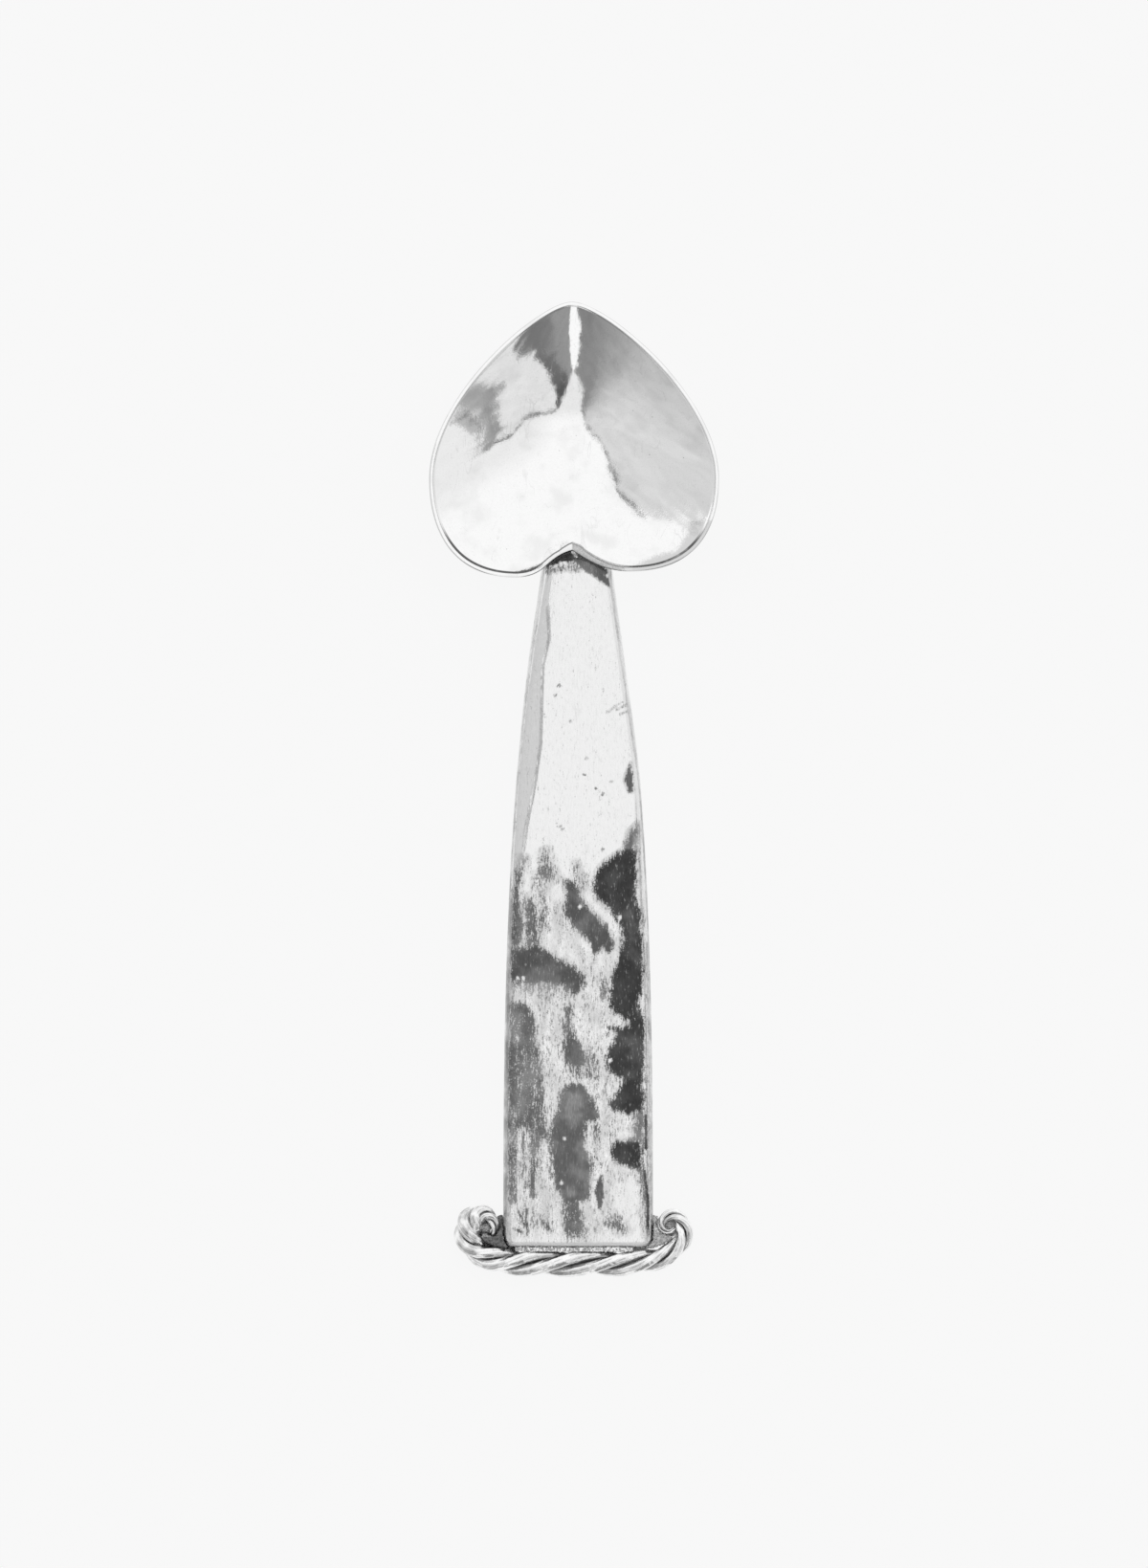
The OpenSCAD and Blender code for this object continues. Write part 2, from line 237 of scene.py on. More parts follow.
def clouds(spot, scale, detail=2.0, roughness=0.5):
    """Soft noise at a place."""
    made = add_node(owner(spot), "ShaderNodeTexNoise", {
        "Vector": spot, "Scale": scale, "Detail": detail, "Roughness": roughness,
    })
    return Wire(made.outputs["Fac"])


def wires(sockets):
    return {socket.name: Wire(socket) for socket in sockets}


def new_group(name, kind, inputs, outputs):
    """Starts a node group, whose inputs are given by their kind or by their usual value."""
    tree = bpy.data.node_groups.new(name, kind)
    for label, given in inputs.items():
        if isinstance(given, str):
            tree.interface.new_socket(name=label, in_out="INPUT", socket_type=given)
        else:
            number_kind = WHOLE if isinstance(given, int) else FLOAT
            socket = tree.interface.new_socket(name=label, in_out="INPUT", socket_type=number_kind)
            socket.default_value = given
    for label, socket_kind in outputs.items():
        tree.interface.new_socket(name=label, in_out="OUTPUT", socket_type=socket_kind)
    entry = tree.nodes.new("NodeGroupInput")
    leave = tree.nodes.new("NodeGroupOutput")
    return tree, wires(entry.outputs), leave.inputs


# Shader groups that the finishes share

def grain_group():
    """Fine grain of the cast metal, even and drawn out along the spoon."""
    tree, inside, out = new_group(
        "cast_grain", "ShaderNodeTree",
        {"Vector": VECTOR, "Grain Size": 0.25 * MM, "Streak Length": 8.0},
        {"Grain": FLOAT, "Streaks": FLOAT},
    )
    fineness = 1.0 / inside["Grain Size"]
    fine = vector_times(inside["Vector"], fineness)
    shorter = 1.0 / inside["Streak Length"]
    drawn = vector_calc("MULTIPLY", fine, combine(1.0, shorter, 1.0))
    for label, vector in (("Grain", fine), ("Streaks", drawn)):
        feed(out[label], smooth_step(clouds(vector, 1.0, roughness=0.6), 0.25, 0.75))
    return tree


def rub_group():
    """Thin rub marks in two directions."""
    tree, inside, out = new_group(
        "rub_marks", "ShaderNodeTree",
        {"Vector": VECTOR, "Spacing": 1.5 * MM, "Thinness": 0.02},
        {"Marks": FLOAT},
    )
    spread = vector_times(inside["Vector"], 1.0 / inside["Spacing"])
    found = []
    for turn, seed_shift in ((0.5, 3.0), (-1.1, 11.0)):
        turned = add_node(tree, "ShaderNodeMapping", {
            "Vector": spread,
            "Location": (seed_shift, seed_shift, 0.0),
            "Rotation": (0.0, 0.0, turn),
            "Scale": (1.0, 0.16, 1.0),
        })
        wander = add_node(tree, "ShaderNodeTexNoise", {
            "Vector": turned.outputs[0], "Scale": 1.0, "Detail": 1.0, "Distortion": 0.3,
        })
        off_line = calc("ABSOLUTE", Wire(wander.outputs["Fac"]) - 0.5)
        line = smooth_step(off_line, inside["Thinness"], 0.0)
        kept = smooth_step(clouds(spread, 0.8, 1.0), 0.5, 0.62)
        found.append(line * kept)
    feed(out["Marks"], calc("MAXIMUM", *found))
    return tree


def pit_group():
    """Small scattered pits."""
    tree, inside, out = new_group(
        "casting_pits", "ShaderNodeTree",
        {"Vector": VECTOR, "Spacing": 2.0 * MM, "Pit Size": 0.1, "Share": 0.5},
        {"Pits": FLOAT},
    )
    spread = vector_times(inside["Vector"], 1.0 / inside["Spacing"])
    cells = add_node(tree, "ShaderNodeTexVoronoi", {"Vector": spread, "Scale": 1.0})
    hole = smooth_step(cells.outputs["Distance"], inside["Pit Size"], 0.0)
    draw = split(cells.outputs["Color"])[0]
    kept = calc("LESS_THAN", draw, inside["Share"])
    feed(out["Pits"], hole * kept)
    return tree


def patch_edge_group():
    """Edge of a painted patch, broken up by the grain."""
    tree, inside, out = new_group(
        "tarnish_edge", "ShaderNodeTree",
        {"Patch": 0.0, "Grain": 0.5, "Streaks": 0.5, "Graininess": 0.6, "Streakiness": 0.3,
            "Softness": 0.12},
        {"Edged": FLOAT},
    )
    grain = (inside["Grain"] - 0.5) * inside["Graininess"]
    streaks = (inside["Streaks"] - 0.5) * inside["Streakiness"]
    rough_edge = inside["Patch"] + (grain + streaks)
    start = 0.5 - inside["Softness"]
    end = inside["Softness"] + 0.5
    feed(out["Edged"], smooth_step(rough_edge, start, end))
    return tree


GRAIN = grain_group()
RUB = rub_group()
PITS = pit_group()
PATCH_EDGE = patch_edge_group()


# Finishes

STAIN_SHADE_LABELS = ("stain_and_shade", "stain_and_shade_tone")

# Painted shade and reflection on the rim, as distances from the notch: upward for the dark shade line, to
# the right for the faint shade line and for the sides of the notch, and all round for the painted shade left
# and right of the notch
DARK_SHADE_LINE = (4.0 * MM, 0.8 * MM)
FAINT_SHADE_LINE = (2.0 * MM, -2.0 * MM)
NOTCH_SIDES = (-0.1 * MM, 0.1 * MM)
NOTCH_SHADE_REACHES = (5.4 * MM, 8.2 * MM)
NOTCH_SHADE_RAGGEDNESS = 1.2 * MM

# Painted highlight along the handle's end, as distances from it, and X where painted shade on the left curl
# sets in
END_HIGHLIGHT = (0.75 * MM, 0.3 * MM)
SHADED_CURL = (-12.6 * MM, -13.6 * MM)


def place_group(group, **inputs):
    """Places a shader group; input names are given with underscores."""
    made = add_node(owner(*inputs.values()), "ShaderNodeGroup", node_tree=group)
    for label, value in inputs.items():
        feed(made.inputs[label.replace("_", " ")], value)
    return wires(made.outputs)


def new_finish(name, metallic):
    """Starts a material; returns it with its tree, shader and Object coordinates."""
    material = bpy.data.materials.new(name)
    material.use_nodes = True
    tree = material.node_tree
    shader = tree.nodes["Principled BSDF"]
    shader.inputs["Metallic"].default_value = metallic
    spot = source(tree, "ShaderNodeTexCoord", "Object")
    return material, tree, shader, spot


def grey(value):
    return combine(value, value, value)


def painted(tree, label):
    """Value that is stored on a mesh."""
    return Wire(add_node(tree, "ShaderNodeAttribute", attribute_name=label).outputs["Fac"])


def stain_shade_inputs(tree):
    """Cover and tone of the stains and painted shade stored on a mesh."""
    return [painted(tree, label) for label in STAIN_SHADE_LABELS]


def break_up(patch, grain, graininess, streakiness, softness=0.12):
    """Painted patch whose edge is broken up by the grain."""
    made = place_group(
        PATCH_EDGE, Patch=patch, Grain=grain["Grain"], Streaks=grain["Streaks"],
        Graininess=graininess, Streakiness=streakiness, Softness=softness,
    )
    return made["Edged"]


def set_look(shader, tone, rough, height, strength, distance):
    """Feeds a metal's tone and roughness, and the height and size of its fine bumps."""
    made = add_node(shader.id_data, "ShaderNodeBump", {
        "Height": height, "Strength": strength, "Distance": distance,
    })
    feed(shader.inputs["Base Color"], grey(tone))
    feed(shader.inputs["Roughness"], rough)
    feed(shader.inputs["Normal"], made.outputs["Normal"])


def polished_pewter():
    """Bright metal of the bowl, with fine rub marks, a few pits, and painted shade and reflection on its
    rim.
    """
    material, tree, shader, spot = new_finish("polished_pewter", 1.0)
    grain = place_group(GRAIN, Vector=spot, Grain_Size=0.22 * MM, Streak_Length=1.5)
    marks = place_group(RUB, Vector=spot, Spacing=2.2 * MM, Thinness=0.01)
    pits = place_group(PITS, Vector=spot, Spacing=2.4 * MM, Pit_Size=0.05, Share=0.4)
    cloud = clouds(spot, 260.0, 3.0)
    bright = mix(0.965, 0.93, grain["Grain"])
    clouded = mix(bright, 0.86, smooth_step(cloud, 0.5, 0.75))
    rubbed = mix(clouded, 0.7, marks["Marks"] * 0.3)
    pitted = mix(rubbed, 0.2, pits["Pits"])

    # Shade and reflection are painted on the rim: painted shadow dark below left of the notch, painted
    # reflection grey right of it, and thin painted shade lines along its edges elsewhere.
    # Its value to_rim is 1 at the rim's inner foot, 2 on its top and 3 at its outer foot
    to_rim = painted(tree, "to_rim")
    stain_and_shade, stain_and_shade_tone = stain_shade_inputs(tree)
    # Painted shade of the grey patches along the rim
    painted_over = mix(pitted, stain_and_shade_tone, break_up(stain_and_shade, grain, 0.3, 0.3, 0.4))
    x, y, _ = split(vector_calc("SUBTRACT", spot, tuple(NOTCH)))
    inner_shade_line = smooth_step(to_rim, 0.987, 0.993) * smooth_step(to_rim, 1.6, 1.2)
    outer_shade_line = smooth_step(to_rim, 2.3, 2.6) * smooth_step(to_rim, 3.1, 3.0)
    low = smooth_step(y, *DARK_SHADE_LINE)
    broken = smooth_step(cloud, 0.3, 0.46)
    faint_shade = mix(1.0, 0.85, smooth_step(x, *FAINT_SHADE_LINE))
    shade_line_tone = mix(faint_shade, mix(0.45, 0.12, broken), low)
    shade_lined = mix(painted_over, shade_line_tone, inner_shade_line)
    shade_lined = mix(shade_lined, 0.6, outer_shade_line * mix(0.4, 1.0, broken))
    from_notch = vector_calc("LENGTH", combine(x, y, 0.0))
    right = smooth_step(x, *NOTCH_SIDES)
    on_rim = smooth_step(to_rim, 0.984, 0.99) * smooth_step(to_rim, 3.1, 3.05)
    ragged = grain["Grain"] * NOTCH_SHADE_RAGGEDNESS + from_notch
    reach = mix(*NOTCH_SHADE_REACHES, right)
    notch_shade = on_rim * smooth_step(ragged - reach, MM, -MM)
    lower_half = smooth_step(to_rim, 2.1, 2.5)
    left_top = mix(0.3, 0.95, smooth_step(to_rim, 1.2, 1.5))
    left_notch_shade = mix(left_top, mix(0.07, 0.14, grain["Grain"]), lower_half)
    rim_shade_line = smooth_step(to_rim, 1.5, 1.65) * smooth_step(to_rim, 1.95, 1.8)
    right_top = mix(mix(0.46, 0.68, grain["Streaks"]), 0.22, rim_shade_line)
    right_notch_shade = mix(right_top, 0.2, lower_half)
    notch_shaded = mix(shade_lined, mix(left_notch_shade, right_notch_shade, right), notch_shade)

    rough = mix(0.02, 0.05, grain["Streaks"])
    rough_marks = mix(rough, 0.2, marks["Marks"])
    rough_rim = mix(rough_marks, 0.35, notch_shade)
    rough_pits = mix(rough_rim, 0.5, pits["Pits"])
    set_look(shader, notch_shaded, rough_pits, grain["Grain"] - pits["Pits"] * 2.0, 0.18, 0.008 * MM)
    return material


def hammered_pewter():
    """Metal of the handle: bright, with dark reflections painted in the slight hollows."""
    material, tree, shader, spot = new_finish("hammered_pewter", 1.0)
    stain_and_shade, stain_and_shade_tone = stain_shade_inputs(tree)
    grain = place_group(GRAIN, Vector=spot, Grain_Size=0.2 * MM, Streak_Length=4.0)
    broad = place_group(GRAIN, Vector=spot, Grain_Size=0.6 * MM, Streak_Length=5.0)
    marks = place_group(RUB, Vector=spot, Spacing=2.6 * MM, Thinness=0.01)
    pits = place_group(PITS, Vector=spot, Spacing=2.6 * MM, Pit_Size=0.05, Share=0.2)
    cloud = clouds(spot, 330.0)
    # Painted dark reflections and painted shade, from the stored cover, with a ragged edge
    feathered = (broad["Streaks"] - 0.5) * 0.35 + stain_and_shade
    reflection_shade = break_up(feathered, grain, 0.35, 0.55, 0.27)
    speckle = break_up(stain_and_shade * 2.0, grain, 0.5, 0.6, 0.4)
    soft = place_group(GRAIN, Vector=spot, Grain_Size=1.5 * MM, Streak_Length=2.5)
    fine = place_group(GRAIN, Vector=spot, Grain_Size=0.13 * MM, Streak_Length=3.0)
    mottled = mix(1.1, 0.78, soft["Streaks"]) * mix(1.02, 0.84, fine["Streaks"])
    hazy = mix(1.0, mottled, smooth_step(stain_and_shade, 0.02, 0.2))
    bright = mix(0.88, 0.84, grain["Streaks"]) * hazy
    rubbed = mix(bright, 0.65, marks["Marks"] * 0.3)
    pitted = mix(rubbed, 0.3, pits["Pits"])
    speckled = mix(pitted, 0.55, speckle * 0.5)
    cloudy = mix(0.85, 1.5, smooth_step(cloud, 0.4, 0.7))
    dark = stain_and_shade_tone * cloudy * mix(0.85, 1.2, grain["Streaks"])
    flecks = smooth_step(grain["Streaks"], 0.86, 0.98)
    flecked = mix(dark, 0.4, flecks * 0.6)
    # Painted highlight along the handle's end, where it meets the rope
    from_end = split(spot)[1] - (NOTCH[1] + HANDLE_END)
    end_highlight = smooth_step(from_end, *END_HIGHLIGHT)
    painted_over = mix(speckled, flecked, reflection_shade)
    tone = mix(painted_over, 0.98, end_highlight * 0.85)
    rough = mix(mix(mix(0.08, 0.14, grain["Streaks"]), 0.42, reflection_shade), 0.65, end_highlight)
    set_look(shader, tone, rough, grain["Streaks"] - pits["Pits"] * 3.0, 0.2, 0.01 * MM)
    return material


def rope_pewter():
    """Metal of the rope: bright on the crests, with painted shade in the grooves, between the fine wires and
    on the left curl.
    """
    material, tree, shader, spot = new_finish("rope_pewter", 1.0)
    crest = painted(tree, "crest")
    ridge = painted(tree, "ridge")
    grain = place_group(GRAIN, Vector=spot, Grain_Size=0.25 * MM, Streak_Length=1.5)
    pits = place_group(PITS, Vector=spot, Spacing=1.1 * MM, Pit_Size=0.09, Share=0.4)
    cloud = clouds(spot, 620.0)
    blotch = smooth_step(cloud, 0.35, 0.62)
    # Painted shade in the grooves and between the fine wires
    groove_shade = break_up(smooth_step(crest, 0.75, 0.58), grain, 0.6, 0.3)
    between = smooth_step(ridge, -0.5, -0.9) * blotch
    # Painted shade on the left curl
    shaded_curl = smooth_step(split(spot)[0], *SHADED_CURL)
    bright = mix(1.0, 0.95, grain["Grain"])
    cloud_share = shaded_curl * 0.6 + 0.2
    clouded = mix(bright, 0.55, blotch * cloud_share)
    pitted = mix(clouded, 0.2, pits["Pits"])
    wired = mix(pitted, 0.42, between * 0.7)
    dark = mix(0.32, 0.7, cloud)
    rough = mix(mix(0.16, 0.24, grain["Streaks"]), 0.4, groove_shade)
    set_look(shader, mix(wired, dark, groove_shade), rough, grain["Grain"], 0.4, 0.012 * MM)
    return material


def dull_solder():
    """Grainy solder: bright, with dark stains, painted shadow and painted reflection broken up by its
    grains.
    """
    material, tree, shader, spot = new_finish("dull_solder", 1.0)
    stain_and_shade, stain_and_shade_tone = stain_shade_inputs(tree)
    grain = place_group(GRAIN, Vector=spot, Grain_Size=0.26 * MM, Streak_Length=1.5)
    # Dark solder with painted shadow and painted reflection, from the stored cover
    specks = break_up(stain_and_shade, grain, 0.9, 0.3)
    bright = mix(0.92, 0.75, grain["Streaks"])
    dark = stain_and_shade_tone * mix(0.7, 1.6, grain["Grain"])
    set_look(shader, mix(bright, dark, specks), mix(0.2, 0.5, specks), grain["Grain"], 0.5, 0.02 * MM)
    return material


def pale_floor():
    """Pale board that lights itself, so that it takes hardly any shadow."""
    material, _, shader, spot = new_finish("pale_floor", 0.0)
    tone = mix(0.872, 0.876, clouds(spot, 300.0))
    for label, value in (
        ("Base Color", (0.08, 0.08, 0.08, 1.0)), ("Roughness", 1.0), ("Specular IOR Level", 0.0),
        ("Emission Color", grey(tone)), ("Emission Strength", 1.0),
    ):
        feed(shader.inputs[label], value)
    return material


# Making and handing over pieces

def plain_object(name, mesh):
    made = bpy.data.objects.new(name, mesh)
    bpy.context.scene.collection.objects.link(made)
    return made


def turn_outward(mesh):
    """Turns the faces of a closed mesh outward."""
    shell = bmesh.new()
    shell.from_mesh(mesh)
    if shell.calc_volume(signed=True) < 0:
        bmesh.ops.reverse_faces(shell, faces=shell.faces)
    shell.to_mesh(mesh)
    shell.free()


def settled(start):
    """Mesh of an object with its modifier applied; the object itself goes."""
    depsgraph = bpy.context.evaluated_depsgraph_get()
    made = bpy.data.meshes.new_from_object(
        start.evaluated_get(depsgraph), preserve_all_data_layers=True, depsgraph=depsgraph)
    bpy.data.objects.remove(start)
    return made


def grow(name, mesh, tree, **inputs):
    """Runs a Geometry Nodes tree on a mesh and returns the result as a plain object."""
    start = plain_object(name + "_start", mesh)
    modifier = start.modifiers.new("grow", "NODES")
    modifier.node_group = tree
    for item in tree.interface.items_tree:
        label = item.name.replace(" ", "_")
        if item.in_out == "INPUT" and label in inputs:
            modifier[item.identifier] = inputs[label]
    grown = settled(start)
    turn_outward(grown)
    return plain_object(name, grown)


def store(tree, geometry, label, value, kind="FLOAT"):
    """Keeps a value on each point of a shape."""
    made = add_node(tree, "GeometryNodeStoreNamedAttribute", data_type=kind, domain="POINT")
    for socket_name, fed in (("Geometry", geometry), ("Name", label), ("Value", value)):
        feed(made.inputs[socket_name], fed)
    return made.outputs[0]


def stored(tree, label, kind="FLOAT"):
    """Value that was kept on the points of a shape."""
    made = add_node(tree, "GeometryNodeInputNamedAttribute", {"Name": label}, data_type=kind)
    return Wire(made.outputs["Attribute"])


def noise_lift(tree, size, seed, height, detail, roughness):
    """Height of lumps of a size, about zero."""
    spot = source(tree, "GeometryNodeInputPosition")
    made = add_node(tree, "ShaderNodeTexNoise", {
        "Vector": vector_times(spot, 1.0 / size), "W": seed, "Scale": 1.0, "Detail": detail,
        "Roughness": roughness,
    }, noise_dimensions="4D")
    return (Wire(made.outputs["Fac"]) - 0.5) * height


def raise_by(tree, geometry, lift):
    """Moves the points of a shape along its normals."""
    offset = vector_times(source(tree, "GeometryNodeInputNormal"), lift)
    return add_node(tree, "GeometryNodeSetPosition", {"Geometry": geometry, "Offset": offset}).outputs[0]


def end_shape(tree, geometry, material, out):
    """Smooths a shape, makes its instances real, sets its material and hands it out."""
    for kind, inputs in (
        ("GeometryNodeSetShadeSmooth", {}),
        ("GeometryNodeRealizeInstances", {}),
        ("GeometryNodeSetMaterial", {"Material": material}),
    ):
        geometry = add_node(tree, kind, {"Geometry": geometry, **inputs}).outputs[0]
    feed(out["Geometry"], geometry)
    return tree


def hand_over(piece, cad_node):
    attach(piece, "root")
    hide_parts(cad_node)


# Stains, placed by pixels of the photograph

def to_pixels(x, y):
    """Pixel of the photograph over a place on the spoon."""
    return PHOTO_MIDDLE[0] + x / PIXEL, PHOTO_MIDDLE[1] - y / PIXEL


def distance_to_line(px, py, start, end):
    ax, ay = start
    dx, dy = end[0] - ax, end[1] - ay
    along = np.clip(((px - ax) * dx + (py - ay) * dy) / (dx * dx + dy * dy), 0.0, 1.0)
    return np.hypot(px - ax - along * dx, py - ay - along * dy)


def depth_in_patch(px, py, corners):
    """Distance from a patch's border, positive inside it."""
    nearest = np.full(px.shape, 1e9)
    inside = np.zeros(px.shape, dtype=bool)
    for (ax, ay), (bx, by) in zip(corners, corners[1:] + corners[:1]):
        nearest = np.minimum(nearest, distance_to_line(px, py, (ax, ay), (bx, by)))
        if ay != by:
            crossing = (ay > py) != (by > py)
            inside ^= crossing & (px < ax + (py - ay) * (bx - ax) / (by - ay))
    return np.where(inside, nearest, -nearest)


STREAK_SOFTNESS = 2.5
PIT_COVER = 0.75
PIT_TONE = 0.34
SPOT_RADIUS = 2.0
TONE_POWER = 6


def painted_cover_at(px, py, cover, tone, patches, streaks=(), spots=(), bright_spots=(), spread=1.0):
    """Cover and tone of painted patches, streaks and spots, with soft borders for the finish to break up."""
    cover = np.broadcast_to(cover, px.shape).copy()
    weights = np.full(px.shape, 1e-6)
    tones = weights * tone

    def lay(new_cover, new_tone):
        np.maximum(cover, new_cover, out=cover)
        weight = new_cover ** TONE_POWER
        weights[...] += weight
        tones[...] += weight * new_tone

    for patch_tone, most, soft, corners in patches:
        depth = depth_in_patch(px, py, corners) / (soft * spread)
        lay(most * np.clip(depth + 0.5, 0.0, 1.0), patch_tone)
    for streak_tone, most, half, start, end in streaks:
        depth = (half - distance_to_line(px, py, start, end)) / STREAK_SOFTNESS
        lay(most * np.clip(depth + 0.5, 0.0, 1.0), streak_tone)
    for x, y in spots:
        away = np.hypot((px - x) * 0.8, (py - y) * 1.2)
        lay(PIT_COVER * np.clip(SPOT_RADIUS - away, 0.0, 1.0), PIT_TONE)
    for x, y in bright_spots:
        away = np.hypot(px - x, (py - y) * 0.8)
        cover = cover * np.clip(away / SPOT_RADIUS - 0.5, 0.0, 1.0)
    return cover, tones / weights


def keep_values(mesh, labels, columns):
    """Stores values on the points of a mesh."""
    for label, values in zip(labels, columns):
        mesh.attributes.new(label, "FLOAT", "POINT").data.foreach_set("value", values.ravel())


def paint(mesh, patches, cover=0.0, tone=0.2, **marks):
    """Paints stains and shade on a finished mesh as it is seen from above."""
    flat = np.empty(3 * len(mesh.vertices))
    mesh.vertices.foreach_get("co", flat)
    px, py = to_pixels(flat[0::3], flat[1::3])
    keep_values(mesh, STAIN_SHADE_LABELS, painted_cover_at(px, py, cover, tone, patches, **marks))


# Outline and levels of the bowl

def cubic(points, steps):
    """Points of a cubic curve, without its last one."""
    p = np.array(points)
    t = np.linspace(0.0, 1.0, steps, endpoint=False)[:, None]
    return (1 - t) ** 3 * p[0] + 3 * (1 - t) ** 2 * t * p[1] + 3 * (1 - t) * t ** 2 * p[2] + t ** 3 * p[3]


def half_heart(reach, drop, arm, steps):
    """Half of the heart from its tip to its notch, at positive X."""
    tip = np.array((0.0, BOWL_LENGTH))
    side = np.array((reach, WIDEST * BOWL_LENGTH))
    lobe = np.array((LOBE * reach, -drop))
    across = np.array((reach, 0.0))
    along = np.array((0.0, BOWL_LENGTH))
    into_notch = np.array((arm["across"] * reach, -arm["drop"] * drop))
    return np.concatenate((
        cubic((tip, tip + TIP_PULL * across, side + SHOULDER * along, side), steps[0]),
        cubic((side, side - CHEEK * along, lobe + LOBE_OUTER * across, lobe), steps[1]),
        cubic((lobe, lobe - arm["lobe_inner"] * across, into_notch, (0.0, 0.0)), steps[2]),
        np.zeros((1, 2)),
    ))


def heart_outline(steps):
    """Whole outline, anticlockwise from the tip."""
    left = half_heart(LEFT_REACH, LEFT_DROP, LEFT_ARM, steps) * (-1.0, 1.0)
    right = half_heart(RIGHT_REACH, RIGHT_DROP, RIGHT_ARM, steps)
    return np.concatenate((left, right[-2:0:-1]))


def level_line(edge, share):
    """Level line of the bowl at a share of the way from its floor to its edge."""
    arm = edge - (0.0, BASIN_CENTRE)
    reach = np.linalg.norm(arm, axis=1, keepdims=True)
    widened = BASIN_RADIUS + (reach - BASIN_RADIUS) * share
    return (0.0, BASIN_CENTRE) + share * widened * arm / reach


def outward(points):
    along = np.roll(points, -1, axis=0) - np.roll(points, 1, axis=0)
    return np.stack((along[:, 1], -along[:, 0]), axis=1) / np.linalg.norm(along, axis=1, keepdims=True)


# Painted shade in a grey band along the right lobe's rim, and a grey spot on the left lobe: tone, cover,
# width of the soft border, then corners in pixels
BOWL_GREY_PATCHES = (
    (0.66, 1.0, 8, (
        (655, 596), (668, 590), (680, 584), (690, 580), (706, 577), (713, 567), (720, 556), (722, 546),
        (746, 544), (742, 564), (730, 584), (700, 598), (670, 603))),
    (0.55, 1.0, 9, ((472, 442), (486, 430), (500, 439), (503, 451), (493, 455), (482, 446))),
)

# Painted shade line along the rim left of the notch: tone, cover, half width, start and end in pixels
BOWL_SHADE_LINES = ((0.1, 1.0, 1.2, (540, 599), (554, 596)), (0.1, 1.0, 1.6, (554, 596), (567, 591)))


# Right side of the notch, where the rim is thicker, reach of its peak, and closing of the rings
THICKER_SIDE = (-0.4 * MM, 0.9 * MM)
PEAK_REACH = 1.6 * MM
RING_WELD = 0.002 * MM


